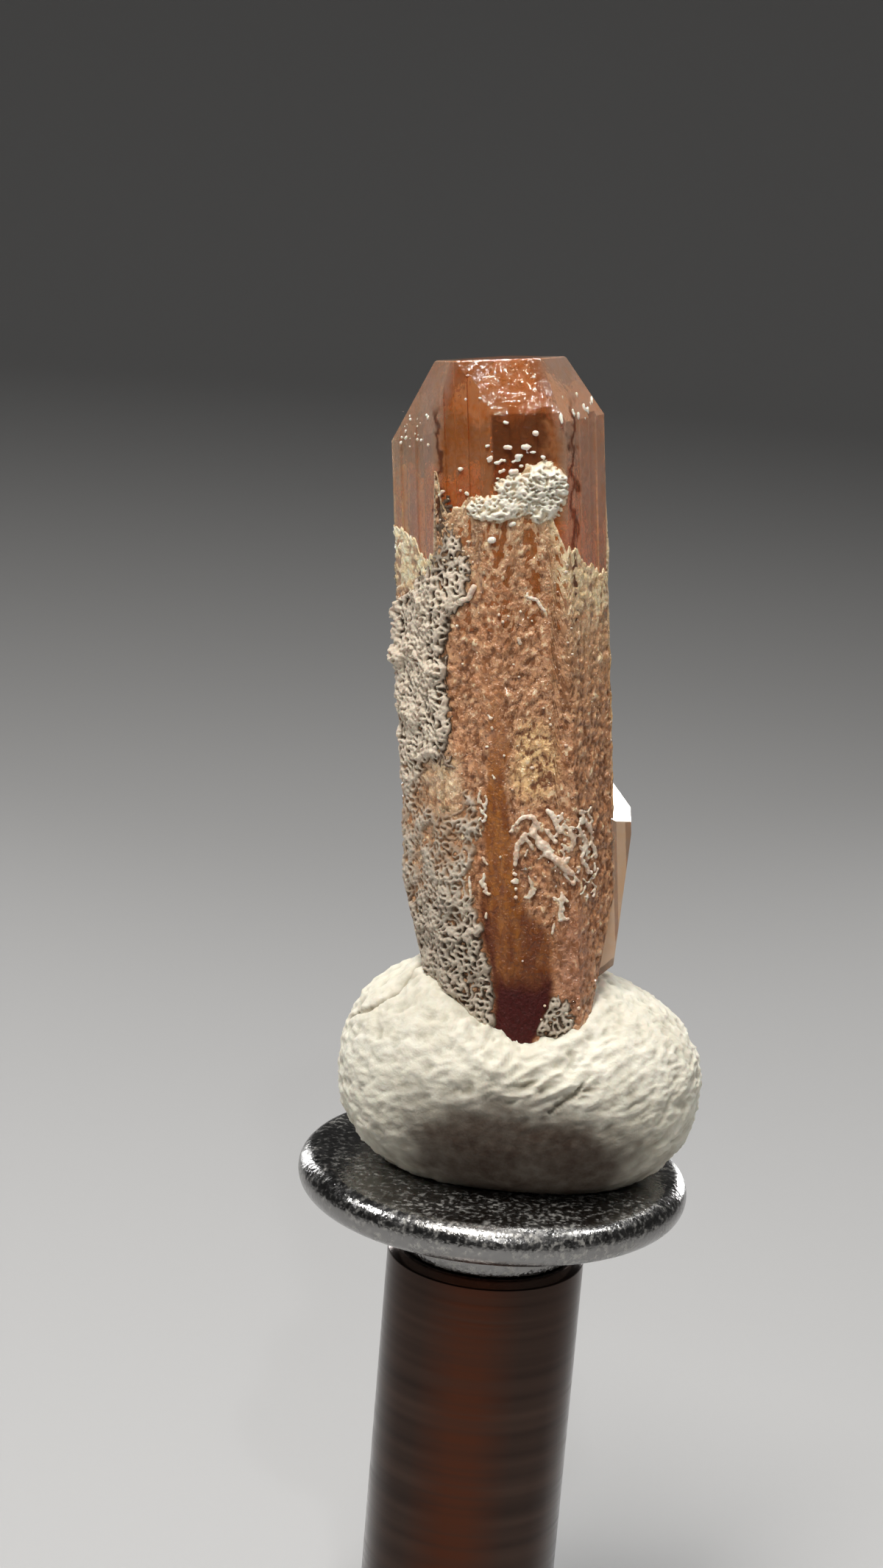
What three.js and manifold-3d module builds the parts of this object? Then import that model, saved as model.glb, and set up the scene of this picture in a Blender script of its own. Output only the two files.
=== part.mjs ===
// A natural topaz crystal, held upright in a ball of mounting putty on a flanged metal post.
// Millimetres, +Z up. The origin is the centre of the foot's underside.

import * as THREE from 'three';
import { mergeVertices } from 'three/addons/utils/BufferGeometryUtils.js';
import Module from 'manifold-3d';

const wasm = await Module();
wasm.setup();

// Post: heights above the table, and radii
const FLANGE_MID = 28.5;
const FLANGE_RADIUS = 8.45;
const RIM_ROUND = 0.9;
const NECK_RADIUS = 3.8;
const NECK_FILLET = 1.5;
const NECK_LENGTH = 2.2;
const ROD_RADIUS = 4.3;
const ROD_CHAMFER = 0.3;
const FOOT_RADIUS = 10;
const FOOT_THICKNESS = 2.4;
const FOOT_CHAMFER = 0.5;
const JOIN_GAP = 0.05;
const ROUND_STEPS = 40;

// Putty: a flattened ball on the flange, measured from its middle
const PUTTY_MIDDLE = new THREE.Vector3(0.76, 0, 4.9);
const PUTTY_HALF_WIDTH = 7.7;
const PUTTY_HALF_DEPTH = 5.8;
const PUTTY_RISE_LEFT = 5.3;
const PUTTY_RISE_RIGHT = 4.3;
const PUTTY_DROP = 5.0;
const PUTTY_FULLNESS = 2.35;
const PUTTY_GAP = 0.1;
const CREASE_DEPTH = 1.35;
const CREASE_HALF_WIDTH = 3.9;

// Crystal: where its axis stands on the flange, and how far it leans to the left and back
const CRYSTAL_BASE = new THREE.Vector3(0.46, -1.0, 6.05);
const LEAN_LEFT = THREE.MathUtils.degToRad(6.5);
const LEAN_BACK = THREE.MathUtils.degToRad(3.3);
const BURIED_END = -1.6;
const FLAT_TOP = 29.4;
const LEDGE_DEPTH = 0.09;
const LEDGE_PLACES = [0.2, 0.37, 0.6, 0.78];
const LEDGE_WANDER = 0.1;
const NEAREST_FACE = 2.5;

// The prism's eight long edges, from the left one round by the front: across, and towards the back
const LONG_EDGES = [
  [-4.4, 0.5],
  [-2.58, -2.2],
  [-0.05, -3.3],
  [2.86, -3.0],
  [4.4, -0.4],
  [3.0, 2.7],
  [0.3, 3.5],
  [-2.8, 2.9],
];

// Facets that end the prism: the direction each one faces, and a point on it
const END_FACETS = [
  { facing: [0.094, -0.939, 0.331], at: [-0.05, -3.3, 27.2] },
  { facing: [0.768, -0.478, 0.42], at: [4.4, -0.4, 27.0] },
  { facing: [-0.826, -0.527, 0.202], at: [-4.4, 0.5, 26.1] },
  { facing: [-0.616, 0.462, 0.639], at: [-4.4, 0.5, 26.1] },
  { facing: [0.689, 0.517, 0.508], at: [4.4, -0.4, 27.0] },
  { facing: [0.03, 0.9, 0.435], at: [0.3, 3.5, 26.6] },
  { facing: [-0.974, 0, -0.225], at: [-4.4, 0, 7.0] },
  { facing: [0.976, 0, -0.219], at: [4.4, 0, 7.0] },
  { facing: [0.2, -0.1, -0.97], at: [0, 0, -1.3] },
];

// The small crystal grown against the right flank: its outline across, its height and its facets
const SIDE_OUTLINE = [
  [3.4, -1.4],
  [4.5, -1.5],
  [5.17, -0.5],
  [5.17, 0.9],
  [4.4, 1.8],
  [3.4, 1.5],
];
const SIDE_LOW = 3.4;
const SIDE_TOP = 12;
const SIDE_FACETS = [
  { facing: [0.9, -0.12, 0.42], at: [5.17, 0.9, 10.4] },
  { facing: [0.988, 0, -0.155], at: [5.15, 0, 9.3] },
  { facing: [0.6, 0, -0.8], at: [4.29, 0, 3.88] },
];

// Crust of dried clay: patches given by edge number round the prism and height along it
const CRUST_PATCHES = [
  { edges: [-0.2, 1.1], heights: [11.5, 22.3], lumps: 27, size: [0.46, 0.78], stretch: 1.2 },
  { edges: [-0.25, 1.7], heights: [3.6, 11.5], lumps: 26, size: [0.42, 0.7], stretch: 1.3 },
  { edges: [1.2, 2.9], heights: [21.6, 23.6], lumps: 8, size: [0.34, 0.5], stretch: 1.0 },
  { edges: [2.35, 2.95], heights: [23.4, 26.0], lumps: 7, size: [0.36, 0.55], stretch: 1.0 },
  { edges: [2.15, 3.4], heights: [6.8, 11.6], lumps: 12, size: [0.22, 0.32], stretch: 3.2 },
  { edges: [2.5, 3.2], heights: [2.5, 3.6], lumps: 4, size: [0.34, 0.46], stretch: 1.0 },
  { edges: [4.8, 7.4], heights: [4.5, 19.0], lumps: 22, size: [0.4, 0.7], stretch: 1.4 },
];
const CRUST_BUMP = { edge: 0.05, height: 16.8, size: 0.95, stretch: 1.3 };
const CRUST_SINK = 0.42;

// Etch pits scattered over the lower two-thirds
const ETCH_PITS = { edges: [1.0, 4.0], heights: [4.5, 21.0], pits: 14, size: [0.26, 0.42], stretch: 1.6 };
const PIT_SINK = -0.35;

// How far a pebble's corners move in and out, as a share of its size
const PEBBLE_CORNERS = [0.78, 1.16];

const CRYSTAL_LOOK = { color: 0xb5672f, roughness: 0.25, metalness: 0 };
const PUTTY_LOOK = { color: 0xd8d2bd, roughness: 0.9, metalness: 0 };
const HEAD_LOOK = { color: 0xc9cacc, roughness: 0.15, metalness: 1 };
const ROD_LOOK = { color: 0xa9a4a0, roughness: 0.2, metalness: 1 };
const FOOT_LOOK = { color: 0x8f8d8b, roughness: 0.35, metalness: 1 };

// A repeatable number from 0 to 1 for each seed
function scatter(seed) {
  const wave = Math.sin(seed * 12.9898 + 4.1414) * 43758.5453;
  return wave - Math.floor(wave);
}

// A repeatable number within a range for each seed
function between(range, seed) {
  return THREE.MathUtils.lerp(range[0], range[1], scatter(seed));
}

// A copy of the geometry whose faces share their corners
function sharedCorners(geometry) {
  const bare = geometry.clone();
  bare.deleteAttribute('normal');
  bare.deleteAttribute('uv');
  return mergeVertices(bare);
}

// A closed geometry as a solid that can be joined and cut
function toSolid(geometry) {
  const shared = sharedCorners(geometry);
  const vertProperties = Float32Array.from(shared.attributes.position.array);
  const triVerts = Uint32Array.from(shared.index.array);
  return new wasm.Manifold(new wasm.Mesh({ numProp: 3, vertProperties, triVerts }));
}

// A joined and cut solid back as a geometry
function toGeometry(solid) {
  const mesh = solid.getMesh();
  const geometry = new THREE.BufferGeometry();
  geometry.setAttribute('position', new THREE.BufferAttribute(Float32Array.from(mesh.vertProperties), 3));
  geometry.setIndex(new THREE.BufferAttribute(Uint32Array.from(mesh.triVerts), 1));
  geometry.computeVertexNormals();
  return geometry;
}

// The main piece of a solid, without any crumbs that a cut left loose
function largestPiece(solid) {
  const pieces = solid.decompose();
  pieces.sort((one, other) => other.volume() - one.volume());
  return pieces[0];
}

// Takes away all of a solid that lies beyond a flat facet
function cutFacet(solid, facet, grow) {
  const reach = 60;
  const facing = new THREE.Vector3(...facet.facing).normalize();
  const block = new THREE.BoxGeometry(reach, reach, reach);
  block.translate(0, 0, reach / 2 + grow);
  block.applyQuaternion(new THREE.Quaternion().setFromUnitVectors(new THREE.Vector3(0, 0, 1), facing));
  block.translate(...facet.at);
  return solid.subtract(toSolid(block));
}

// The point on the prism's side at a place between two long edges, and the way out from it
function onPrism(place, height) {
  const count = LONG_EDGES.length;
  const turn = (place + count) % count;
  const first = Math.floor(turn);
  const start = new THREE.Vector2(...LONG_EDGES[first]);
  const end = new THREE.Vector2(...LONG_EDGES[(first + 1) % count]);
  const along = new THREE.Vector2().lerpVectors(start, end, turn - first);
  const across = end.sub(start).normalize();
  return {
    point: new THREE.Vector3(along.x, along.y, height),
    out: new THREE.Vector3(across.y, -across.x, 0),
  };
}

// The prism's outline with shallow lengthwise ledges on every face
function striatedOutline(grow) {
  const spread = 1 + grow / NEAREST_FACE;
  const outline = new THREE.Shape();
  LONG_EDGES.forEach((edge, index) => {
    const start = onPrism(index, 0).point.multiplyScalar(spread);
    outline[index === 0 ? 'moveTo' : 'lineTo'](start.x, start.y);
    LEDGE_PLACES.forEach((place, step) => {
      const shifted = place + LEDGE_WANDER * (scatter(index * 7 + step) - 0.5);
      const { point, out } = onPrism(index + shifted, 0);
      const outer = point.multiplyScalar(spread);
      const inner = outer.clone().addScaledVector(out, -LEDGE_DEPTH);
      const order = step % 2 === 0 ? [outer, inner] : [inner, outer];
      order.forEach((corner) => outline.lineTo(corner.x, corner.y));
    });
  });
  outline.closePath();
  return outline;
}

// An irregular pebble: a ball of flat faces, each corner moved in or out
function pebble(size, stretch, seed) {
  const shape = sharedCorners(new THREE.IcosahedronGeometry(1, 0));
  const corners = shape.attributes.position;
  const corner = new THREE.Vector3();
  for (let index = 0; index < corners.count; index += 1) {
    corner.fromBufferAttribute(corners, index);
    corner.multiplyScalar(size * between(PEBBLE_CORNERS, seed + index * 3.7));
    corners.setXYZ(index, corner.x, corner.y, corner.z * stretch);
  }
  shape.rotateX(between([-0.5, 0.5], seed + 0.3));
  shape.rotateY(between([-0.6, 0.6], seed + 0.6));
  shape.rotateZ(between([0, 3], seed + 0.9));
  return shape;
}

// A pebble set on the prism's side, sunk in by a share of its size
function pebbleOnPrism(place, height, size, stretch, seed, sink) {
  const { point, out } = onPrism(place, height);
  const centre = point.addScaledVector(out, -size * sink);
  const shape = pebble(size, stretch, seed);
  shape.translate(centre.x, centre.y, centre.z);
  return toSolid(shape);
}

// The crystal in its own frame. grow makes the same form a little larger all round.
function growCrystal(grow) {
  const body = new THREE.ExtrudeGeometry(striatedOutline(grow), {
    depth: FLAT_TOP - BURIED_END + grow,
    bevelEnabled: false,
  });
  body.translate(0, 0, BURIED_END);
  let crystal = toSolid(body);
  END_FACETS.forEach((facet) => {
    crystal = cutFacet(crystal, facet, grow);
  });

  const sideOutline = new THREE.Shape(SIDE_OUTLINE.map(([x, y]) => new THREE.Vector2(x, y)));
  const sideBody = new THREE.ExtrudeGeometry(sideOutline, {
    depth: SIDE_TOP - SIDE_LOW,
    bevelEnabled: false,
  });
  sideBody.translate(0, 0, SIDE_LOW);
  let side = toSolid(sideBody);
  SIDE_FACETS.forEach((facet) => {
    side = cutFacet(side, facet, grow);
  });
  crystal = crystal.add(side);

  CRUST_PATCHES.forEach((patch, number) => {
    for (let lump = 0; lump < patch.lumps; lump += 1) {
      const seed = 100 * number + lump * 13 + 1;
      const place = between(patch.edges, seed);
      const height = between(patch.heights, seed + 1);
      const size = between(patch.size, seed + 2) + grow;
      crystal = crystal.add(pebbleOnPrism(place, height, size, patch.stretch, seed, CRUST_SINK));
    }
  });
  const bump = { ...CRUST_BUMP, size: CRUST_BUMP.size + grow };
  crystal = crystal.add(pebbleOnPrism(bump.edge, bump.height, bump.size, bump.stretch, 5, CRUST_SINK));

  for (let pit = 0; pit < ETCH_PITS.pits; pit += 1) {
    const seed = 900 + pit * 11;
    const place = between(ETCH_PITS.edges, seed);
    const height = between(ETCH_PITS.heights, seed + 1);
    const size = between(ETCH_PITS.size, seed + 2) - grow;
    crystal = crystal.subtract(pebbleOnPrism(place, height, size, ETCH_PITS.stretch, seed, PIT_SINK));
  }
  return largestPiece(crystal);
}

// Stands the crystal on its place above the flange, leaning to the left and back
function placeCrystal(geometry) {
  const lean = new THREE.Euler(-LEAN_BACK, -LEAN_LEFT, 0, 'YXZ');
  geometry.applyQuaternion(new THREE.Quaternion().setFromEuler(lean));
  geometry.translate(CRYSTAL_BASE.x, CRYSTAL_BASE.y, CRYSTAL_BASE.z);
  return geometry;
}

// The putty ball: flat underneath, full in its two lobes, creased in front where the crystal pushed in
function puttyBall() {
  const ball = sharedCorners(new THREE.SphereGeometry(1, 36, 22).rotateX(Math.PI / 2));
  const corners = ball.attributes.position;
  const way = new THREE.Vector3();
  const floor = RIM_ROUND + JOIN_GAP;
  for (let index = 0; index < corners.count; index += 1) {
    way.fromBufferAttribute(corners, index);
    const power = PUTTY_FULLNESS;
    const norm = (Math.abs(way.x) ** power + Math.abs(way.y) ** power + Math.abs(way.z) ** power) ** (1 / power);
    way.divideScalar(norm);
    const x = way.x * PUTTY_HALF_WIDTH;
    const y = way.y * PUTTY_HALF_DEPTH;
    const rise = THREE.MathUtils.lerp(PUTTY_RISE_LEFT, PUTTY_RISE_RIGHT, (way.x + 1) / 2);
    let z = way.z * (way.z > 0 ? rise : PUTTY_DROP);
    const fromCrease = Math.abs(x) / CREASE_HALF_WIDTH;
    const front = THREE.MathUtils.smoothstep(-y, 0, 3.5);
    const high = THREE.MathUtils.smoothstep(way.z, 0, 0.8);
    z -= CREASE_DEPTH * Math.max(0, 1 - fromCrease) * front * high;
    const height = Math.max(floor, PUTTY_MIDDLE.z + z);
    corners.setXYZ(index, PUTTY_MIDDLE.x + x, PUTTY_MIDDLE.y + y, height);
  }
  return ball;
}

// The putty with the hole that the crystal fills
function pressedPutty() {
  const socket = toSolid(placeCrystal(toGeometry(growCrystal(PUTTY_GAP))));
  return toGeometry(largestPiece(toSolid(puttyBall()).subtract(socket)));
}

// A round piece turned about the Z axis from its outline of radius and height
function turned(outline) {
  const points = outline.map(([radius, height]) => new THREE.Vector2(radius, height));
  const shape = new THREE.LatheGeometry(points, ROUND_STEPS);
  shape.rotateX(Math.PI / 2);
  return shape;
}

// Points of an arc in a turned outline, both ends included
function arc(radius, height, size, fromDegrees, toDegrees, steps) {
  const points = [];
  for (let step = 0; step <= steps; step += 1) {
    const angle = THREE.MathUtils.degToRad(THREE.MathUtils.lerp(fromDegrees, toDegrees, step / steps));
    points.push([radius + size * Math.cos(angle), height + size * Math.sin(angle)]);
  }
  return points;
}

// Heights below the flange's middle
const NECK_LOW = -RIM_ROUND - NECK_LENGTH;
const ROD_TOP = NECK_LOW - JOIN_GAP;
const ROD_LOW = FOOT_THICKNESS - FLANGE_MID + JOIN_GAP;

// The round-rimmed flange with a filleted neck under it
function headShape() {
  const filletMiddle = NECK_RADIUS + NECK_FILLET;
  return turned([
    [0, NECK_LOW],
    [NECK_RADIUS, NECK_LOW],
    ...arc(filletMiddle, -RIM_ROUND - NECK_FILLET, NECK_FILLET, 180, 90, 4),
    ...arc(FLANGE_RADIUS - RIM_ROUND, 0, RIM_ROUND, -90, 90, 8),
    [0, RIM_ROUND],
  ]);
}

// The plain round rod, its upper edge broken
function rodShape() {
  return turned([
    [0, ROD_LOW],
    [ROD_RADIUS, ROD_LOW],
    [ROD_RADIUS, ROD_TOP - ROD_CHAMFER],
    [ROD_RADIUS - ROD_CHAMFER, ROD_TOP],
    [0, ROD_TOP],
  ]);
}

// The plain round foot, flat underneath
function footShape() {
  const low = -FLANGE_MID;
  const top = low + FOOT_THICKNESS;
  return turned([
    [0, low],
    [FOOT_RADIUS - FOOT_CHAMFER / 2, low],
    [FOOT_RADIUS, low + FOOT_CHAMFER / 2],
    [FOOT_RADIUS, top - FOOT_CHAMFER],
    [FOOT_RADIUS - FOOT_CHAMFER, top],
    [0, top],
  ]);
}

// One named piece of the object
function piece(name, geometry, look) {
  const mesh = new THREE.Mesh(geometry, new THREE.MeshStandardMaterial(look));
  mesh.name = name;
  return mesh;
}

const specimen = new THREE.Group();
specimen.position.z = FLANGE_MID;
specimen.add(piece('topaz_crystal', placeCrystal(toGeometry(growCrystal(0))), CRYSTAL_LOOK));
specimen.add(piece('putty', pressedPutty(), PUTTY_LOOK));
specimen.add(piece('post_head', headShape(), HEAD_LOOK));
specimen.add(piece('post_rod', rodShape(), ROD_LOOK));
specimen.add(piece('post_foot', footShape(), FOOT_LOOK));

export default specimen;
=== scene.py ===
# %% [markdown]
# # A topaz crystal in its holder
# This lesson dresses a natural topaz crystal. It stands in a ball of mounting putty, on a flanged metal post.
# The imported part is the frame: it fixes where everything is and how large it is. Each cell below makes one
# piece or one finish on that frame, and says what the real thing is and why it is made this way.

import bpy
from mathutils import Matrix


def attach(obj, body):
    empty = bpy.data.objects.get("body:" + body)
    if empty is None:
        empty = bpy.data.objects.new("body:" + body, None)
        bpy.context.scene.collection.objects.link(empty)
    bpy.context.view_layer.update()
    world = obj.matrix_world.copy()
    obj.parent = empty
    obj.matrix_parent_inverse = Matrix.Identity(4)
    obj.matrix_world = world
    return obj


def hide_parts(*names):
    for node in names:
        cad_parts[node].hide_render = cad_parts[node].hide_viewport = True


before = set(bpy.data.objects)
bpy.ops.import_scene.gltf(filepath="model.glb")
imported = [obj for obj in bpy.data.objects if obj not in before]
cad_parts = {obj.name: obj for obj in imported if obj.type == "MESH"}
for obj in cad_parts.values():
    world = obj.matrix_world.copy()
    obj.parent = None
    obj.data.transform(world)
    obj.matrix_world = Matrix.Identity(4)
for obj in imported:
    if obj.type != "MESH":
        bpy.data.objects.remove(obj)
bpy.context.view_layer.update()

# %% Tools
import functools
import math
import random

import bmesh
import bpy
from mathutils import Matrix, Vector, noise

# %% [markdown]
# ## Camera
# The camera comes first, so that every look at the work is from the photograph's side. It stands a hand's
# width in front of the crystal and looks down at it a little. A long lens at a short distance gives the
# flattened look of a close-up. The picture leans, so the camera is rolled as well.

# %% Camera
CAMERA_PLACE = Vector((0, -0.120, 0.0745))
LOOK_DOWN = math.radians(13.45)
LOOK_LEFT = math.radians(1.72)
ROLL = math.radians(4.7)
LENS = 67.2


def make_camera():
    """Makes the scene's camera from where it stands and the three angles it is turned by."""
    flat = math.cos(LOOK_DOWN)
    ahead = Vector((-math.sin(LOOK_LEFT) * flat, math.cos(LOOK_LEFT) * flat, -math.sin(LOOK_DOWN)))
    level = Vector((math.cos(LOOK_LEFT), math.sin(LOOK_LEFT), 0))
    upright = level.cross(ahead)
    right = level * math.cos(ROLL) + upright * math.sin(ROLL)
    up = upright * math.cos(ROLL) - level * math.sin(ROLL)
    turn = Matrix((right, up, -ahead)).transposed().to_4x4()
    data = bpy.data.cameras.new("camera")
    data.lens = LENS
    data.sensor_width = 36
    data.clip_start = 0.005
    camera = bpy.data.objects.new("camera", data)
    camera.matrix_world = Matrix.Translation(CAMERA_PLACE) @ turn
    bpy.context.scene.collection.objects.link(camera)
    bpy.context.scene.camera = camera


make_camera()

# %% [markdown]
# ## Shared helpers
# Shapes are modelled in millimetres, because the crystal is that small. The last step of each piece turns
# it into metres and into its place, so that the finished object sits at the origin, unturned and unscaled.

# %% Helpers for shapes
MM = 0.001


def ramp(value, low, high):
    """0 below low, 1 above high, and a soft change between them."""
    share = min(1.0, max(0.0, (value - low) / (high - low)))
    return share * share * (3 - 2 * share)


def between(value, stations):
    """Reads a value off a line through stations, each a place and the value there."""
    for (start, first), (end, second) in zip(stations, stations[1:]):
        if value <= end:
            share = min(1.0, max(0.0, (value - start) / (end - start)))
            return first + (second - first) * share
    return stations[-1][1]


def ripple(point, size, seed=0.0):
    """Smooth noise from about -1 to 1, with bumps of the given size."""
    return noise.noise(Vector((point[0] / size + seed, point[1] / size - seed, point[2] / size)))


def make_object(shape, name, smooth=True):
    """Turns a bmesh into an object of the scene."""
    for face in shape.faces:
        face.smooth = smooth
    mesh = bpy.data.meshes.new(name)
    shape.to_mesh(mesh)
    shape.free()
    item = bpy.data.objects.new(name, mesh)
    bpy.context.scene.collection.objects.link(item)
    return item


def finish_piece(shape, name, place, smooth=True):
    """Puts a bmesh in its place, makes it an object that rides on the part, and reports it."""
    bmesh.ops.transform(shape, matrix=place, verts=shape.verts)
    piece = make_object(shape, name, smooth)
    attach(piece, "root")
    triangles = sum(len(polygon.vertices) - 2 for polygon in piece.data.polygons)
    print(f"{name}: {triangles} triangles")
    return piece


# %% [markdown]
# Materials are built from nodes. One small class keeps each material's cell readable: it adds nodes, links
# them, and does the few sums and colour mixes that come back everywhere.

# %% Helpers for nodes
class Wiring:
    """A node tree under construction."""

    def __init__(self, tree):
        self.nodes = tree.nodes
        self.links = tree.links

    def put(self, socket, value):
        """Sets one socket to a value, or links another node's output to it."""
        if isinstance(value, bpy.types.NodeSocket):
            self.links.new(value, socket)
        else:
            socket.default_value = value

    def add(self, kind, inputs=None, **settings):
        """Adds a node. Each input has a name or number, and a value or another node's output."""
        node = self.nodes.new(kind)
        for name, value in settings.items():
            setattr(node, name, value)
        for name, value in (inputs or {}).items():
            self.put(node.inputs[name], value)
        return node

    def maths(self, operation, *values, clamp=False):
        """A sum on one, two or three numbers."""
        inputs = dict(enumerate(values))
        return self.add("ShaderNodeMath", inputs, operation=operation, use_clamp=clamp).outputs[0]

    def arrows(self, operation, *values):
        """A sum on vectors."""
        inputs = dict(enumerate(values))
        return self.add("ShaderNodeVectorMath", inputs, operation=operation).outputs[0]

    def blend(self, mask, first, second):
        """One colour where the mask is 0 and another where it is 1."""
        node = self.add("ShaderNodeMix", data_type="RGBA")
        self.put(node.inputs[0], mask)
        self.put(node.inputs[6], first)
        self.put(node.inputs[7], second)
        return node.outputs[2]

    def spread(self, value, low, high, new_low=0.0, new_high=1.0):
        """Brings values from one range to another, and stops at its ends."""
        inputs = {"Value": value, "From Min": low, "From Max": high, "To Min": new_low, "To Max": new_high}
        return self.add("ShaderNodeMapRange", inputs).outputs[0]

    def kept(self, name):
        """A number that the mesh keeps for each of its points."""
        return self.add("ShaderNodeAttribute", attribute_name=name).outputs["Fac"]

    def sides(self, place):
        """The three numbers X, Y and Z of a place."""
        return self.add("ShaderNodeSeparateXYZ", {0: place}).outputs

    def speckle(self, place, size, detail=3.0):
        """Noise from 0 to 1 with spots of the given size, in the units of the place."""
        inputs = {"Vector": place, "Scale": 1 / size, "Detail": detail}
        return self.add("ShaderNodeTexNoise", inputs).outputs["Fac"]

    def relief(self, height, depth_mm, under=None):
        """Turns a height from 0 to 1 into a bumpy normal, on top of another normal if one is given."""
        inputs = {"Height": height, "Distance": depth_mm * MM}
        if under is not None:
            inputs["Normal"] = under
        return self.add("ShaderNodeBump", inputs).outputs["Normal"]


# %% [markdown]
# A second class starts a material. It knows its one main shader, and gives each point its place on the object
# in millimetres, so that every pattern has a real size and sticks to the object.

# %% Helpers for materials
class Finish(Wiring):
    """A material under construction, with its one main shader."""

    def __init__(self, name):
        self.material = bpy.data.materials.new(name)
        self.material.use_nodes = True
        super().__init__(self.material.node_tree)
        self.shader = self.nodes["Principled BSDF"]
        self.output = self.nodes["Material Output"]

    def shade(self, **inputs):
        """Sets the main shader's sockets. An underscore in a name stands for a space."""
        for name, value in inputs.items():
            self.put(self.shader.inputs[name.replace("_", " ")], value)

    def place(self, location=(0, 0, 0), turn=(0, 0, 0), stretch=(1, 1, 1)):
        """A point in millimetres, in the directions of whatever stands at that location, turned that way."""
        inputs = {"Vector": self.add("ShaderNodeTexCoord").outputs["Object"], "Location": location,
                  "Rotation": turn, "Scale": [MM * share for share in stretch]}
        return self.add("ShaderNodeMapping", inputs, vector_type="TEXTURE").outputs[0]

    def on(self, *pieces):
        """Gives the material to the pieces."""
        for piece in pieces:
            piece.data.materials.clear()
            piece.data.materials.append(self.material)


def grey(value):
    """A neutral colour."""
    return (value, value, value, 1)


# %% [markdown]
# ## Shared effects
# Two effects come back in several finishes, so each is a node group of its own. Glitter tilts tiny grains at
# random, so that single grains flash in the light, as etched crystal and pitted metal do. Mottle mixes large
# and small noise into one natural mask.

# %% Shared effects
VECTOR = "NodeSocketVector"
FLOAT = "NodeSocketFloat"


def new_group(name, inputs, outputs):
    """An empty node group with named sockets, and its wiring."""
    group = bpy.data.node_groups.new(name, "ShaderNodeTree")
    for direction, sockets in (("INPUT", inputs), ("OUTPUT", outputs)):
        for label, kind in sockets.items():
            group.interface.new_socket(name=label, in_out=direction, socket_type=kind)
    wiring = Wiring(group)
    return group, wiring, wiring.add("NodeGroupInput").outputs, wiring.add("NodeGroupOutput").inputs


def make_glitter():
    """Each small cell gets a normal of its own, tilted at random."""
    sockets = {"Place": VECTOR, "Grain Size": FLOAT, "Tilt": FLOAT, "Normal": VECTOR}
    group, wiring, given, result = new_group("glitter", sockets, {"Normal": VECTOR})
    finer = wiring.maths("DIVIDE", 1.0, given["Grain Size"])
    cells = wiring.add("ShaderNodeTexVoronoi", {"Vector": given["Place"], "Scale": finer})
    centred = wiring.arrows("SUBTRACT", cells.outputs["Color"], (0.5, 0.5, 0.5))
    scaled = wiring.add("ShaderNodeVectorMath", {0: centred, "Scale": given["Tilt"]}, operation="SCALE")
    tilted = wiring.arrows("ADD", given["Normal"], scaled.outputs[0])
    wiring.links.new(wiring.arrows("NORMALIZE", tilted), result["Normal"])
    return group


def make_mottle():
    """Large and small noise mixed into one mask."""
    sockets = {"Place": VECTOR, "Large": FLOAT, "Small": FLOAT, "Contrast": FLOAT}
    group, wiring, given, result = new_group("mottle", sockets, {"Mask": FLOAT})
    layers = []
    for label in ("Large", "Small"):
        finer = wiring.maths("DIVIDE", 1.0, given[label])
        inputs = {"Vector": given["Place"], "Scale": finer, "Detail": 3.0}
        layers.append(wiring.add("ShaderNodeTexNoise", inputs).outputs["Fac"])
    both = wiring.maths("SUBTRACT", wiring.maths("ADD", *layers), 1.0)
    mask = wiring.maths("MULTIPLY_ADD", both, given["Contrast"], 0.5, clamp=True)
    wiring.links.new(mask, result["Mask"])
    return group


GLITTER = make_glitter()
MOTTLE = make_mottle()


def glitter(finish, place, grain_size, tilt, normal):
    """Places the glitter group in a finish, with its own grain size and tilt."""
    inputs = {"Place": place, "Grain Size": grain_size, "Tilt": tilt, "Normal": normal}
    return finish.add("ShaderNodeGroup", inputs, node_tree=GLITTER).outputs["Normal"]


def mottle(finish, place, large, small, contrast):
    """Places the mottle group in a finish, with its own sizes."""
    inputs = {"Place": place, "Large": large, "Small": small, "Contrast": contrast}
    return finish.add("ShaderNodeGroup", inputs, node_tree=MOTTLE).outputs["Mask"]


# %% [markdown]
# ## The crystal's own directions
# The crystal leans a little to the left and back. All of its pieces and patterns are laid out along its own
# axis: across, towards the back, and up along the prism. One matrix stands them in their place.

# %% Where the crystal stands
FLANGE_MID = 28.5
CRYSTAL_BASE = Vector((0.46, -1.0, FLANGE_MID + 6.05))
LEAN_LEFT = math.radians(6.5)
LEAN_BACK = math.radians(3.3)
CRYSTAL_TURN = Matrix.Rotation(-LEAN_LEFT, 4, "Y") @ Matrix.Rotation(-LEAN_BACK, 4, "X")
CRYSTAL_PLACE = Matrix.Scale(MM, 4) @ Matrix.Translation(CRYSTAL_BASE) @ CRYSTAL_TURN
print("crystal stands at", [round(value, 2) for value in CRYSTAL_BASE], "mm")


def crystal_place(finish, stretch=(1, 1, 1)):
    """Points in millimetres along the crystal's own directions."""
    return finish.place(CRYSTAL_BASE * MM, CRYSTAL_TURN.to_euler(), stretch)


# %% [markdown]
# ## The prism
# Topaz grows as a prism with an eight-sided section, long edges, and faces that are finely striated along
# their length. The outline is given by its eight long edges, and shallow ledges step in and out of every
# face. The same outline serves for the clear upper part, the etched lower part and the crusts on it.

# %% The prism's outline
LONG_EDGES = [Vector(edge) for edge in (
    (-4.4, 0.5), (-2.58, -2.2), (-0.05, -3.3), (2.86, -3.0),
    (4.4, -0.4), (3.0, 2.7), (0.3, 3.5), (-2.8, 2.9))]
SIDES = len(LONG_EDGES)
LEDGE_DEPTH = 0.09
LEDGES = (0.2, 0.37, 0.6, 0.78)
LEDGE_WANDER = 0.06
CORNER_SHARE = 0.12


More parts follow.
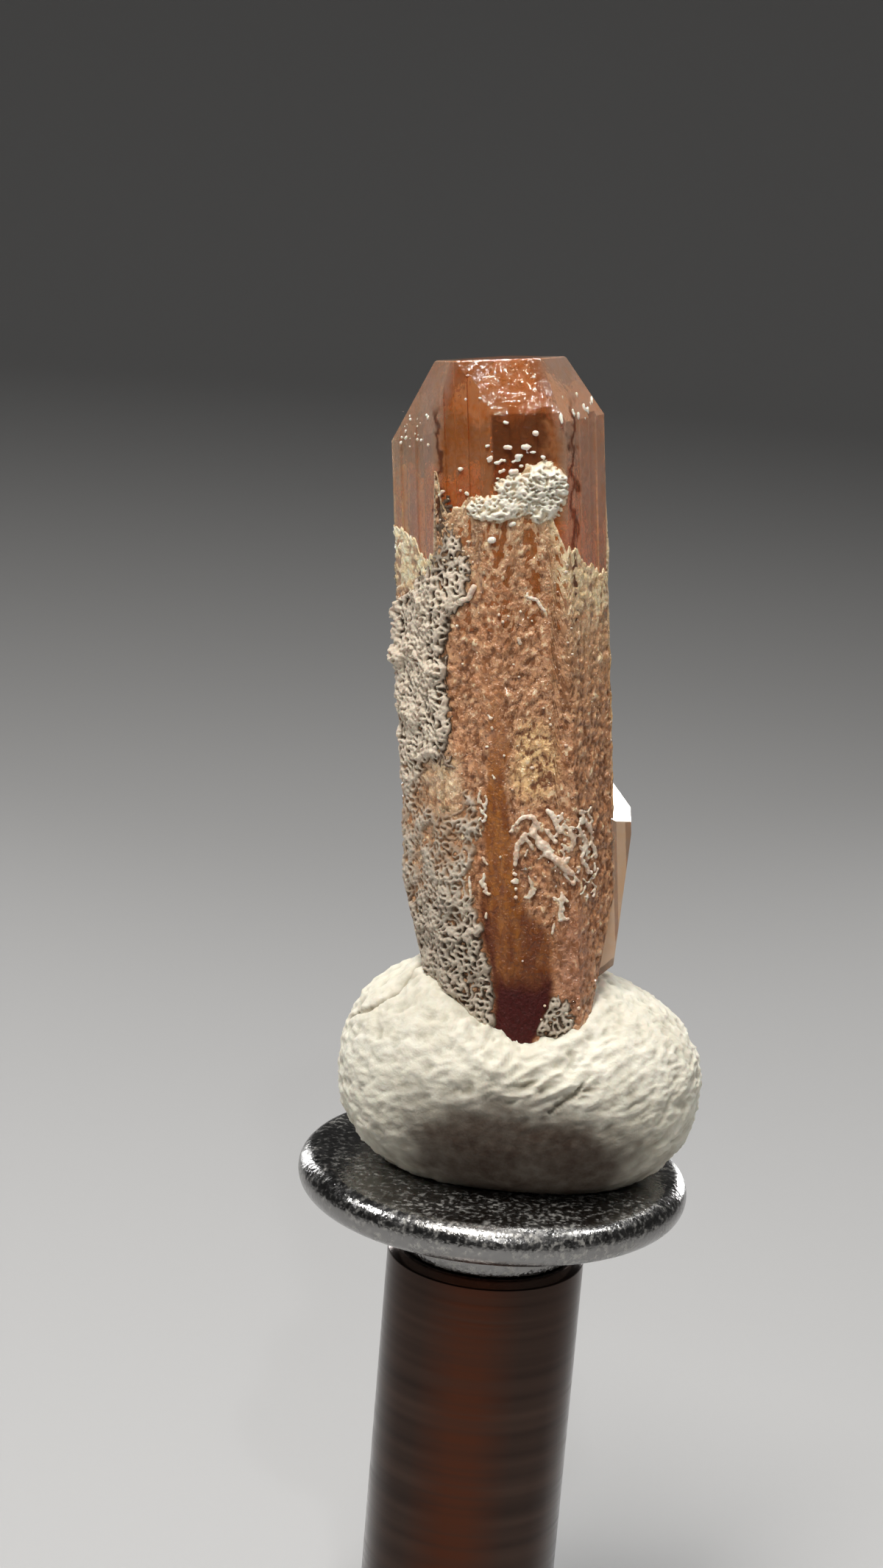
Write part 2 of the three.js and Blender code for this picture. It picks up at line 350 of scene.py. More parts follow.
def face_sides(number):
    """The two long edges that a face of the prism lies between."""
    return LONG_EDGES[number % SIDES], LONG_EDGES[(number + 1) % SIDES]


def face_way_out(number):
    """The direction that a face of the prism looks in."""
    start, end = face_sides(number)
    along = end - start
    return Vector((along.y, -along.x)).normalized()


def on_prism(turn, height, stand=0.0):
    """The point at a place round the prism, counted in edges, and a height along it."""
    number = math.floor(turn) % SIDES
    share = turn - math.floor(turn)
    start, end = face_sides(number)
    point = start.lerp(end, share)
    out = face_way_out(number)
    near_edge = min(share, 1 - share)
    if near_edge < CORNER_SHARE:
        neighbour = face_way_out(number - 1 if share < 0.5 else number + 1)
        out = out.lerp(neighbour, 0.5 * (1 - near_edge / CORNER_SHARE)).normalized()
    point = point + out * stand
    return Vector((point.x, point.y, height))


def cut_by_facets(shape, facets):
    """Cuts a closed shape by flat facets, and closes each cut with a face."""
    for facing, point in facets:
        geometry = shape.verts[:] + shape.edges[:] + shape.faces[:]
        cut = bmesh.ops.bisect_plane(shape, geom=geometry, dist=1e-5, plane_co=point, plane_no=facing,
                                     clear_outer=True)
        edges = [item for item in cut["geom_cut"] if isinstance(item, bmesh.types.BMEdge)]
        if edges:
            bmesh.ops.contextual_create(shape, geom=edges)


def raise_outline(shape, outline, low, high):
    """A closed column on an outline."""
    base = shape.faces.new([shape.verts.new((x, y, low)) for x, y in outline])
    raised = bmesh.ops.extrude_face_region(shape, geom=[base], use_keep_orig=True)
    corners = [item for item in raised["geom"] if isinstance(item, bmesh.types.BMVert)]
    bmesh.ops.translate(shape, vec=(0, 0, high - low), verts=corners)
    bmesh.ops.recalc_face_normals(shape, faces=shape.faces)


def striated_outline():
    """The prism's outline, with ledges that step in and out of each face."""
    outline = []
    for number in range(SIDES):
        start, end = face_sides(number)
        outline.append(start)
        for step, share in enumerate(LEDGES):
            wandered = share + LEDGE_WANDER * noise.noise(Vector((number * 7.3, step * 3.1, 0)))
            outer = start.lerp(end, wandered)
            inner = outer - face_way_out(number) * LEDGE_DEPTH
            outline += [outer, inner] if step % 2 == 0 else [inner, outer]
    return outline


# %% [markdown]
# ## The clear upper crystal
# The upper third of the prism is clear, with sloping end facets round a small flat top. It is modelled as
# the real form: a column on the striated outline, cut by one plane for each facet. The cuts keep the edges
# exact, which subdividing or sculpting would lose, and glass shows every edge. Only the edges of the flat top
# are worn a little, and they catch the light as a thin bright line.

# %% The clear upper crystal
CLEAR_LOW = 18.5
FLAT_TOP = 29.4
WORN_EDGE = 0.06
END_FACETS = [
    ((0.094, -0.939, 0.331), (-0.05, -3.3, 27.2)),
    ((0.768, -0.478, 0.42), (4.4, -0.4, 27.0)),
    ((-0.826, -0.527, 0.202), (-4.4, 0.5, 26.1)),
    ((-0.616, 0.462, 0.639), (-4.4, 0.5, 26.1)),
    ((0.689, 0.517, 0.508), (4.4, -0.4, 27.0)),
    ((0.03, 0.9, 0.435), (0.3, 3.5, 26.6)),
]


def make_clear_crystal():
    """The clear part of the prism with its end facets."""
    shape = bmesh.new()
    raise_outline(shape, striated_outline(), CLEAR_LOW, FLAT_TOP)
    cut_by_facets(shape, END_FACETS)
    bmesh.ops.recalc_face_normals(shape, faces=shape.faces)
    worn = [edge for edge in shape.edges if min(corner.co.z for corner in edge.verts) > FLAT_TOP - 0.01]
    bmesh.ops.bevel(shape, geom=worn, offset=WORN_EDGE, segments=1, affect="EDGES", profile=0.5, material=-1)
    return finish_piece(shape, "topaz_clear", CRYSTAL_PLACE, smooth=False)


clear_crystal = make_clear_crystal()

# %% [markdown]
# ## The small side crystal
# A second, much smaller crystal has grown against the right flank. One of its facets catches the light like
# a mirror. It is made in the same way, from its own outline and facets.

# %% The small side crystal
SIDE_OUTLINE = ((3.6, -0.5), (4.55, -0.5), (5.17, -0.05), (5.17, 0.8), (4.4, 1.8), (3.4, 1.5))
SIDE_LOW = 3.4
SIDE_TOP = 12.0
SIDE_FACETS = [
    ((0.45, -0.43, 0.79), (5.17, -0.05, 9.95)),
    ((0.988, 0, -0.155), (5.15, 0, 9.3)),
    ((0.6, 0, -0.8), (4.29, 0, 3.88)),
]


def make_side_crystal():
    """The small crystal on the right flank."""
    shape = bmesh.new()
    raise_outline(shape, SIDE_OUTLINE, SIDE_LOW, SIDE_TOP)
    cut_by_facets(shape, SIDE_FACETS)
    bmesh.ops.recalc_face_normals(shape, faces=shape.faces)
    return finish_piece(shape, "topaz_side", CRYSTAL_PLACE, smooth=False)


side_crystal = make_side_crystal()

# %% [markdown]
# ## The etched lower crystal
# Below a ragged line the prism is etched: natural acids have eaten shallow dimples and furrows into it, and
# its skin is frosted. The skin reaches up round the clear part like a thin cup. Its rim is ragged: it climbs
# in tongues and drops at the long edges, so its height is a line through stations round the prism, with some
# noise on top. Near its foot the prism narrows on both flanks.

# %% The etched skin's rim and relief
ETCHED_LOW = -1.3
CUP_FLOOR = 19.0
SKIN = 0.08
STAND = 0.04
GRID_STEP = 0.088
RIM = ((0, 22.6), (0.4, 22.3), (0.8, 21.2), (0.98, 21.5), (1.04, 25.4), (1.08, 24.9), (1.12, 23.9),
       (1.22, 23.4), (1.6, 23.9), (2.0, 23.7), (2.2, 24.4), (2.5, 25.2), (2.72, 24.6), (2.8, 22.9),
       (2.95, 21.7), (3.15, 21.6), (3.5, 20.9), (3.98, 20.6), (4.05, 24.6), (4.5, 25.2), (4.9, 24.5),
       (5.0, 22.6), (5.5, 21.9), (5.98, 22.5), (6.04, 25.3), (6.4, 24.3), (6.9, 25.2), (7.4, 23.9),
       (7.8, 24.8), (7.97, 22.6), (8.0, 22.6))
RIM_TOP = 25.6
RIM_MEAN = 22
HALF_WAY_UP = 10
MEAN_RADIUS = 3.3
LOWER_TAPERS = [
    (Vector((-0.974, 0, -0.225)), Vector((-4.4, 0, 7.0))),
    (Vector((0.976, 0, -0.219)), Vector((4.4, 0, 7.0))),
]


@functools.cache
def rim_height(turn):
    """How high the etched skin reaches at a place round the prism."""
    place = Vector((turn * 3, 0, 0))
    ragged = 0.35 * ripple(place, 1.1, 3.0) + 0.35 * ripple(place, 0.35, 8.0) + 0.3 * ripple(place, 0.13, 5.0)
    return min(RIM_TOP, between(turn % SIDES, RIM) + ragged)


def taper(point):
    """Draws a point in where the prism narrows near its foot."""
    for facing, anchor in LOWER_TAPERS:
        beyond = (point - anchor).dot(facing.normalized())
        if beyond > 0:
            point = point - facing.normalized() * beyond
    return point


# %% [markdown]
# The etched skin isn't the same all over. A smooth, glassy wedge runs down the front to the putty, with a
# stripe above it, and low down and along its left side it darkens to an ember red. Beside it lie a pink patch
# and a yellow patch, which is a painted glow. Under the rim hangs a cream veil, deeper on the back, and a
# pale patch of the same kind lies on the left; they are frost, and their pale colour is partly a painted
# glow. Each zone is a number from 0 to 1 that the mesh keeps for its points, so the relief and the colours
# both read it.

# %% Zones of the etched skin
WEDGE_MIDDLE = ((0.6, 0.15), (1.3, 0.2), (2.8, 0.5), (3.9, 0.53), (5.9, 0.35), (6.7, -0.1), (8.2, -0.25),
                (13.0, -0.3), (17.5, -0.2))
WEDGE_HALF = ((0.6, 0.6), (1.3, 0.95), (2.8, 1.2), (3.9, 1.4), (5.9, 1.5), (6.7, 1.15), (8.2, 0.7),
              (13.0, 0.45), (17.5, 0.25))
VEIL = ((0, 1.0), (0.75, 0.9), (1.1, 0.2), (2.0, 0.15), (2.7, 0.5), (3.0, 1.0), (8.0, 1.0))
VEIL_DEPTH = ((0, 1.7), (4.0, 1.7), (4.2, 3.0), (7.8, 3.0), (8.0, 1.7))
PALE_PATCH = (-2.5, 12.0, 0.9, 1.9)
PINK_PATCH = (2.65, 4.6, 0.95, 2.9)
YELLOW_GLOW_PATCH = (1.25, 13.1, 1.15, 2.0)


def spot(across, height, middle_across, middle_height, half_width, half_height):
    """A soft oval mask on the front."""
    away = math.hypot((across - middle_across) / half_width, (height - middle_height) / half_height)
    return 1 - ramp(away, 0.45, 1.1)


def zones(point, turn):
    """The masks of all zones at a point of the skin."""
    across, back, height = point
    wobble = 0.22 * ripple(point, 0.9, 21.0) + 0.1 * ripple(point, 0.3, 31.0)
    front = ramp(-back, -0.2, 0.6)
    middle = between(height, WEDGE_MIDDLE)
    half = between(height, WEDGE_HALF)
    inside = 1 - ramp(abs(across + wobble - middle), half * 0.75, half * 1.1)
    wedge = inside * front * (1 - ramp(height, 11.5, 18))
    deepening = 0.3 * (1 - ramp(height, 4.5, 9.0)) + 0.7 * (1 - ramp(height + 1.5 * wobble, 3.3, 4.6))
    left_edge = 1 - ramp(abs(across + wobble - middle + half * 0.85), 0.05, 0.4)
    deepening = max(deepening, 0.85 * left_edge * (1 - ramp(height, 6.5, 9.0)))
    below = rim_height(turn) - height
    around = turn % SIDES
    veil = math.exp(-max(0.0, below + 2.5 * wobble) / between(around, VEIL_DEPTH)) * between(around, VEIL)
    veil = max(min(1.0, 1.5 * veil), 0.35 * spot(across + wobble, height, *PALE_PATCH) * front)
    return {
        "wedge": wedge,
        "ember": wedge * deepening,
        "pink": spot(across, height, *PINK_PATCH) * front * (1 - wedge),
        "amber_glow": spot(across + wobble, height, *YELLOW_GLOW_PATCH) * front * (1 - wedge),
        "veil": veil,
    }


def etched_relief(point, turn, masks):
    """How far the etched skin stands proud of the prism."""
    rough = 1 - 0.85 * masks["wedge"] - 0.5 * masks["pink"]
    furrow = ripple((turn * 3, 0, point.z / 9), 0.17, 2.0)
    wide_furrow = ripple((turn * 3, 0, point.z / 6), 0.6, 12.0)
    dimple = 0.25 - abs(ripple((point.x, point.y, point.z * 1.2), 0.42, 4.0))
    grain = ripple(point, 0.2, 6.0)
    return (0.03 * furrow + 0.04 * wide_furrow - 0.13 * dimple + 0.085 * grain) * rough


# %% [markdown]
# The relief is real, because it shows against the light at the flanks: a fine flat grid is bent round the
# prism, and each of its points is moved a little in or out. The crust later uses the same grid. The skin's
# open ends are closed by extruding their rings.

# %% A grid round the prism
def perimeter_places(step):
    """Places round the prism, evenly spaced in millimetres."""
    places = []
    for number in range(SIDES):
        start, end = face_sides(number)
        length = (end - start).length
        count = round(length / step)
        places += [number + index / count for index in range(count)]
    return places + [float(SIDES)]


def grid_on_prism(shape, places, rows, height_at, stand_at):
    """Bends a flat grid round the prism. height_at and stand_at give each point's height and stand."""
    columns = len(places) - 1
    grid = bmesh.ops.create_grid(shape, x_segments=columns, y_segments=rows, size=0.5)
    layers = {}
    for vertex in grid["verts"]:
        turn = places[round((vertex.co.x + 0.5) * columns)]
        height = height_at(turn, round((vertex.co.y + 0.5) * rows) / rows)
        point = on_prism(turn, height)
        stand, masks = stand_at(point, turn)
        vertex.co = taper(on_prism(turn, height, stand))
        for name, value in masks.items():
            if name not in layers:
                layers[name] = shape.verts.layers.float.get(name) or shape.verts.layers.float.new(name)
            vertex[layers[name]] = value
    return grid["verts"]


def close_ring(shape, edges, moves):
    """Extrudes an open ring once for each move, and then draws it together to a point."""
    for move in moves:
        ring = bmesh.ops.extrude_edge_only(shape, edges=edges)
        corners = [item for item in ring["geom"] if isinstance(item, bmesh.types.BMVert)]
        edges = [item for item in ring["geom"] if isinstance(item, bmesh.types.BMEdge)]
        for corner in corners:
            corner.co = move(corner.co)
    ring = bmesh.ops.extrude_edge_only(shape, edges=edges)
    corners = [item for item in ring["geom"] if isinstance(item, bmesh.types.BMVert)]
    middle = sum((corner.co for corner in corners), Vector()) / len(corners)
    bmesh.ops.pointmerge(shape, verts=corners, merge_co=middle)


# %% [markdown]
# The skin is one grid from below the putty's surface up to the rim. At the rim it turns in through its own
# thickness and goes down to the cup's floor, on which the clear part stands.

# %% The etched lower crystal
def drawn_in(point):
    """The point moved in through the thickness of the skin."""
    return Vector((point.x, point.y, 0)) * (1 - SKIN / MEAN_RADIUS) + Vector((0, 0, point.z - SKIN))


def dropped(point):
    """The point moved down to the floor of the cup."""
    return Vector((point.x, point.y, CUP_FLOOR))


def make_etched_crystal():
    """The etched part of the prism, a closed cup round the foot of the clear part."""
    shape = bmesh.new()
    places = perimeter_places(GRID_STEP)
    rows = round((RIM_MEAN - ETCHED_LOW) / GRID_STEP)
    for name in ("wedge", "ember", "pink", "amber_glow", "veil", "relief"):
        shape.verts.layers.float.new(name)

    def height_at(turn, share):
        return ETCHED_LOW + (rim_height(turn) - ETCHED_LOW) * share

    def stand_at(point, turn):
        masks = zones(point, turn)
        away_from_rim = ramp(rim_height(turn) - point.z, 0.0, 0.4)
        masks["relief"] = etched_relief(point, turn, masks)
        return STAND + (masks["relief"] - 0.6 * STAND) * away_from_rim, masks

    grid_on_prism(shape, places, rows, height_at, stand_at)
    bmesh.ops.remove_doubles(shape, verts=shape.verts, dist=0.004)
    shape.edges.ensure_lookup_table()
    open_edges = [edge for edge in shape.edges if edge.is_boundary]
    upper = [edge for edge in open_edges if edge.verts[0].co.z > HALF_WAY_UP]
    lower = [edge for edge in open_edges if edge.verts[0].co.z <= HALF_WAY_UP]
    close_ring(shape, upper, [drawn_in, dropped])
    close_ring(shape, lower, [])
    bmesh.ops.recalc_face_normals(shape, faces=shape.faces)
    return finish_piece(shape, "topaz_etched", CRYSTAL_PLACE)


etched_crystal = make_etched_crystal()

# %% [markdown]
# ## Crust
# Dried clay sits on the crystal as a crust of fine worm-like ridges, grey-white, with dark gaps where the
# crystal shows through. Each patch is a fine grid on the prism. Its height follows thin lines of equal noise,
# which wander and join just as the ridges do. What would lie under the crystal's surface is cut away, and
# the rest gets a back, so every crumb is a closed solid. Beads along a path would miss the joined network.

# %% Crust patches
CRUST_STEP = 0.047
CRUST_BACK = 0.09
CUT_UNDER = -0.05
LEAST_COVER = 0.2
BARE = -0.3
RIDGE_HALF = 0.33
LENGTH_SAMPLES = 40


def worm_ridges(point, size, stretch, seed):
    """Winding round-backed ridges from 0 to 1."""
    place = Vector((point.x, point.y, point.z / stretch))
    bend = 0.4 * size * ripple(place, size * 1.7, seed + 40)
    off_line = ripple(place + Vector((bend, bend, -bend)), size, seed) / RIDGE_HALF
    return math.sqrt(max(0.0, 1 - off_line * off_line))


def way_out(point):
    """The level direction from the prism's axis to a point."""
    return Vector((point.x, point.y, 0)).normalized()


def evenly(ends, count):
    """Evenly spaced values from one end to the other."""
    return [ends[0] + (ends[1] - ends[0]) * index / count for index in range(count + 1)]


def make_crust(name, turns, heights, cover, thickness, size, stretch, seed):
    """A patch of crust. cover gives a mask at each point of the prism's side, 1 or more where it is full."""
    shape = bmesh.new()
    low, high = heights
    rise_layer = shape.verts.layers.float.new("rise")
    samples = [on_prism(turn, 0) for turn in evenly(turns, LENGTH_SAMPLES)]
    length = sum((end - start).length for start, end in zip(samples, samples[1:]))
    places = evenly(turns, round(length / CRUST_STEP))
    rows = round((high - low) / CRUST_STEP)

    def height_at(turn, share):
        return low + (high - low) * share

    def stand_at(point, turn):
        covered = cover(turn, point)
        if covered < LEAST_COVER:
            return BARE, {"rise": BARE}
        ridge = worm_ridges(point, size, stretch, seed)
        covered *= 0.85 + 0.5 * ripple(point, 0.9, seed + 5)
        lump = max(0.0, ripple(point, 1.5, seed + 7)) * max(0.0, covered - 0.6)
        fine = 0.14 * ripple(point, 0.12, seed + 9)
        rise = thickness * (covered * (0.42 + 0.66 * ridge + fine) - 0.42 + 1.1 * lump)
        return STAND + rise, {"rise": rise}

    grid_on_prism(shape, places, rows, height_at, stand_at)
    hidden = [face for face in shape.faces if max(corner[rise_layer] for corner in face.verts) < CUT_UNDER]
    bmesh.ops.delete(shape, geom=hidden, context="FACES")
    for corner in shape.verts:
        corner.co += way_out(corner.co) * max(0.0, CUT_UNDER - corner[rise_layer])
    backed = bmesh.ops.extrude_face_region(shape, geom=shape.faces[:], use_keep_orig=True)
    for item in backed["geom"]:
        if isinstance(item, bmesh.types.BMVert):
            item.co -= way_out(item.co) * (max(CUT_UNDER, item[rise_layer]) + CRUST_BACK)
    bmesh.ops.recalc_face_normals(shape, faces=shape.faces)
    return finish_piece(shape, name, CRYSTAL_PLACE)


# %% [markdown]
# Where the clay lies is a design of its own, a mask made of soft ovals and borders for each patch. A long
# crust on the left follows a border line. It is thin where the crystal shows through, and swells to a lump
# on the prism's edge. White clay like frost lies on the upper front with a tail to the left, a small patch
# lies against the putty, and the back has a crust of its own.

# %% Where the crust lies
LEFT_BORDER = ((0.8, -0.35), (2.8, -0.6), (4.0, -0.7), (5.5, -0.95), (6.7, -1.2), (7.6, -1.6), (8.8, -1.3),
               (10.0, -0.9), (11.2, -0.8), (11.9, -1.5), (12.6, -1.95), (14.5, -2.05), (16.9, -2.3),
               (19.0, -2.1), (19.8, -1.2), (21.0, -1.1), (22.0, -1.4), (23.2, -1.7), (24.5, -1.8),
               (27.0, -2.2))
LEFT_AMOUNT = ((0.8, 0.95), (6.0, 1.0), (8.0, 0.88), (9.5, 0.72), (11.5, 0.68), (12.8, 0.95), (14.0, 1.1),
               (19.5, 1.1), (21.0, 0.85), (22.5, 0.7), (23.5, 0.4))
LEFT_START = ((0, -5.0), (18.8, -5.0), (19.9, -3.9), (20.7, -3.4), (21.2, -2.9), (22.0, -2.6), (24.0, -2.5))
BUMP_TURN = 0.03
BUMP_HEIGHT = 16.6
BUMP_RADIUS = 1.5
THIN_PLACE = (-2.6, 11.9, 0.8, 1.2)
BESIDE_WEDGE = ((1.2, 0.75), (1.8, 0.95), (2.8, 1.45), (3.3, 1.65))


def oval(point, across, height, half_width, half_height, edge=0.35):
    """An oval mask with a ragged border, at a point of the front."""
    away = math.hypot((point.x - across) / half_width, (point.z - height) / half_height)
    away += 0.25 * ripple(point, 0.7, 51.0) + 0.12 * ripple(point, 0.25, 57.0)
    return 1 - ramp(away, 1 - edge, 1 + edge)


def left_cover(turn, point):
    """The long crust on the left, thick in the middle and at the foot."""
    across = point.x + (0.3 * ripple(point, 0.9, 61.0) + 0.18 * ripple(point, 0.3, 67.0))
    border = between(point.z, LEFT_BORDER)
    start = between(point.z, LEFT_START)
    inside = (1 - ramp(across, border - 0.3, border + 0.12)) * ramp(across, start, start + 0.3)
    over_edge = ramp(turn, -0.75, -0.3)
    thin = 1 - 0.9 * oval(point, *THIN_PLACE)
    bump = 1 - ramp(math.hypot((turn - BUMP_TURN) * 3, point.z - BUMP_HEIGHT), 0.2, BUMP_RADIUS)
    return inside * between(point.z, LEFT_AMOUNT) * over_edge * thin + 0.45 * bump


def frost_cover(turn, point):
    """The white patch on the upper front, with a tail to the left."""
    body = 1.6 * oval(point, 1.85, 24.1, 1.0, 1.1, 0.3)
    tail = 1.2 * oval(point, -0.1, 23.5, 1.15, 0.5, 0.35)
    shoulder = 1.1 * oval(point, 0.75, 24.2, 0.8, 0.6, 0.35)
    return max(body, tail, shoulder)


def foot_cover(turn, point):
    """The small patch low on the right, against the putty."""
    border = between(point.z, BESIDE_WEDGE)
    return 1.15 * oval(point, 1.75, 2.3, 0.85, 0.95, 0.3) * ramp(point.x, border, border + 0.2)


def back_cover(turn, point):
    """Crust on the back."""
    along = ramp(turn, 4.5, 5.1) * (1 - ramp(turn, 7.0, 7.6))
    up = ramp(point.z, 2.5, 4.5) * (1 - ramp(point.z, 16.5, 19.5))
    return 1.05 * along * up * (0.75 + 0.7 * ripple(point, 2.4, 4))


grey_crusts = [
    make_crust("crust_low", (-0.8, 2.0), (0.8, 12.55), left_cover, 0.34, 0.22, 1.15, 1.0),
    make_crust("crust_high", (-0.8, 2.0), (12.5, 24.0), left_cover, 0.34, 0.22, 1.15, 1.0),
    make_crust("crust_foot", (2.1, 3.1), (1.0, 4.0), foot_cover, 0.31, 0.22, 1.1, 120.0),
    make_crust("crust_back", (4.4, 7.7), (2.0, 20.0), back_cover, 0.31, 0.32, 1.2, 150.0),
]
frost_crust = make_crust("crust_frost", (1.2, 3.0), (22.4, 26.2), frost_cover, 0.27, 0.2, 0.85, 60.0)

# %% [markdown]
# ## Worms and beads
# Low on the right the clay lies as single winding worms with beads of glassy silica among them. Crumbs are
# strewn over the body, white drops lie round the frost, and tiny ones on the end facets. The large ones have
# places of their own, as a radius in millimetres and a path across and up the front. The small ones are
# strewn in bands, each with a lower left corner, an upper right corner and a count.

# %% Where the worms and beads lie
WORMS = [
    (0.13, ((1.75, 11.1), (1.95, 10.8), (2.2, 10.2))),
    (0.12, ((0.45, 10.6), (0.75, 10.85), (1.1, 10.85), (1.35, 10.4))),
    (0.19, ((1.1, 10.3), (1.35, 9.8), (1.7, 9.3), (2.15, 8.9), (2.6, 8.4))),
    (0.12, ((1.7, 10.2), (2.0, 9.8))),
    (0.12, ((0.75, 10.1), (0.5, 9.7), (0.35, 8.9))),
    (0.10, ((0.8, 10.0), (1.1, 9.5))),
    (0.12, ((3.1, 10.7), (3.3, 10.3), (3.4, 10.0))),
    (0.11, ((2.6, 10.2), (2.75, 9.8), (2.65, 9.4))),
    (0.11, ((3.1, 9.9), (3.25, 9.5), (3.0, 9.0), (3.3, 8.3))),
    (0.10, ((3.4, 9.5), (3.6, 9.1), (3.6, 8.8))),
    (0.09, ((1.1, 19.9), (1.5, 19.75), (1.8, 19.3))),
    (0.09, ((0.75, 18.2), (0.8, 18.0))),
    (0.10, ((2.25, 7.6), (2.2, 7.1), (2.1, 6.6))),
    (0.08, ((1.9, 6.3), (1.8, 5.9))),
    (0.15, ((-1.6, 19.7), (-1.2, 19.85), (-1.0, 20.3))),
    (0.08, ((-1.8, 6.4), (-1.5, 7.4), (-1.55, 8.3))),
]
CLAY_BEADS = [
    (0.13, (2.7, 8.0)), (0.11, (3.4, 8.25)), (0.09, (3.5, 8.0)), (0.1, (0.3, 8.5)), (0.1, (0.3, 8.15)),
    (0.1, (0.36, 7.85)), (0.11, (0.35, 7.5)), (0.12, (2.3, 2.5)), (0.1, (2.8, 2.7)), (0.08, (0.85, 19.3)),
    (0.07, (1.3, 18.9)), (0.08, (-0.22, 9.2)), (0.07, (0.55, 4.8)),
]
WORM_BANDS = [
    ((2.3, 8.2), (3.7, 11.0), 34), ((0.3, 7.6), (1.1, 10.6), 12), ((1.0, 8.6), (2.6, 11.0), 10),
    ((1.9, 6.2), (2.3, 7.8), 5), ((-1.05, 6.5), (-0.75, 12.3), 14), ((2.9, 7.3), (3.7, 8.2), 5),
]
CRUMB_BANDS = [
    ((-1.9, 12.0), (3.8, 21.5), 46), ((-2.4, 21.0), (-1.0, 24.3), 18), ((0.2, 7.0), (3.8, 11.2), 26),
    ((1.1, 1.4), (2.6, 3.4), 12),
]
DROP_BAND = ((-0.3, 24.6), (1.9, 26.1), 18)
DROPS = [
    (0.15, (0.5, 25.9)), (0.16, (1.2, 25.9)), (0.12, (0.9, 25.55)), (0.11, (0.3, 25.4)),
    (0.08, (-0.25, 26.0)), (0.09, (-0.2, 25.4)), (0.12, (0.25, 24.95)), (0.13, (0.7, 24.95)),
    (0.13, (1.65, 26.45)), (0.09, (0.45, 26.9)), (0.15, (-0.2, 22.25)), (0.12, (0.6, 22.8)),
    (0.1, (-1.45, 25.1)), (0.09, (-1.15, 24.1)), (0.1, (1.9, 25.5)),
]
FACET_BANDS = [
    (END_FACETS[2], (-4.0, 25.9), (-2.7, 27.4), 26, 1.0),
    (END_FACETS[1], (2.6, 26.9), (4.1, 28.0), 14, 2.4),
    (END_FACETS[0], (-1.2, 27.6), (1.8, 29.1), 12, 0.8),
]
GLASS_BEADS = [
    (0.22, (2.0, 8.45)), (0.17, (0.7, 8.6)), (0.12, (2.8, 10.2)), (0.11, (2.6, 2.95)), (0.12, (3.45, 8.05)),
]

# %% [markdown]
# These aren't a network like the crust, so each worm is a string of small balls along its own path, and each
# drop a ball half sunk into the face it lies on. A voxel remesh then melts the balls that touch into closed,
# organic bodies.

# %% Strings of balls
VOXEL = 0.045


def somewhere(dice, low, high):
    """A random place between two corners, across and up."""
    return dice.uniform(low[0], high[0]), dice.uniform(low[1], high[1])


def turn_at(across):
    """The place round the front of the prism that lies at a distance across."""
    for number in range(4):
        start, end = LONG_EDGES[number].x, LONG_EDGES[number + 1].x
        if start <= across <= end:
            return number + (across - start) / (end - start)
    return 0.0 if across < 0 else 4.0


def add_drop(shape, centre, half_sizes):
    """A small coarse ball, stretched to three half sizes."""
    place = Matrix.Translation(centre) @ Matrix.Diagonal((*half_sizes, 1))
    bmesh.ops.create_icosphere(shape, subdivisions=1, radius=1, matrix=place)


def add_ball(shape, across, height, radius, stretch=(1, 1, 1)):
    """A small ball half sunk into the front of the prism."""
    centre = taper(on_prism(turn_at(across), height, STAND + radius * 0.25))
    add_drop(shape, centre, [radius * share for share in stretch])


def add_facet_drop(shape, facet, across, height, half_sizes):
    """A small drop on one of the end facets, at a place seen from the front."""
    facing, anchor = facet
    beyond = facing[0] * (across - anchor[0]) + facing[2] * (height - anchor[2])
    add_drop(shape, Vector((across, anchor[1] - beyond / facing[1], height)), half_sizes)


def add_worm(shape, radius, path, dice):
    """A string of overlapping balls along a path, which wanders and swells a little."""
    for (across, height), (next_across, next_height) in zip(path, path[1:]):
        length = math.hypot(next_across - across, next_height - height)
        steps = max(1, round(length / (radius * 0.7)))
        for step in range(steps + 1):
            share = step / steps
            at_across = across + (next_across - across) * share + dice.uniform(-0.25, 0.25) * radius
            at_height = height + (next_height - height) * share + dice.uniform(-0.25, 0.25) * radius
            add_ball(shape, at_across, at_height, radius * dice.uniform(0.75, 1.15))


def melt(shape, name):
    """Melts the balls into closed bodies, and rides the result on the part."""
    piece = finish_piece(shape, name, CRYSTAL_PLACE)
    remesh = piece.modifiers.new("melt", "REMESH")
    remesh.mode = "VOXEL"
    remesh.voxel_size = VOXEL * MM
    remesh.use_smooth_shade = True
    smooth = piece.modifiers.new("soften", "SMOOTH")
    smooth.factor = 0.5
    smooth.iterations = 2
    melted = bpy.data.meshes.new_from_object(piece.evaluated_get(bpy.context.evaluated_depsgraph_get()))
    piece.modifiers.clear()
    piece.data = melted
    print(f"{name}: {len(melted.polygons) * 2} triangles once melted")
    return piece


# %% [markdown]
# The dice are seeded, so the strewn ones fall in the same places every time. A strewn worm has three points
# that lead down a slope, and a strewn drop is flat and a little drawn out. The glassy beads stay round, so
# they are plain fine spheres.

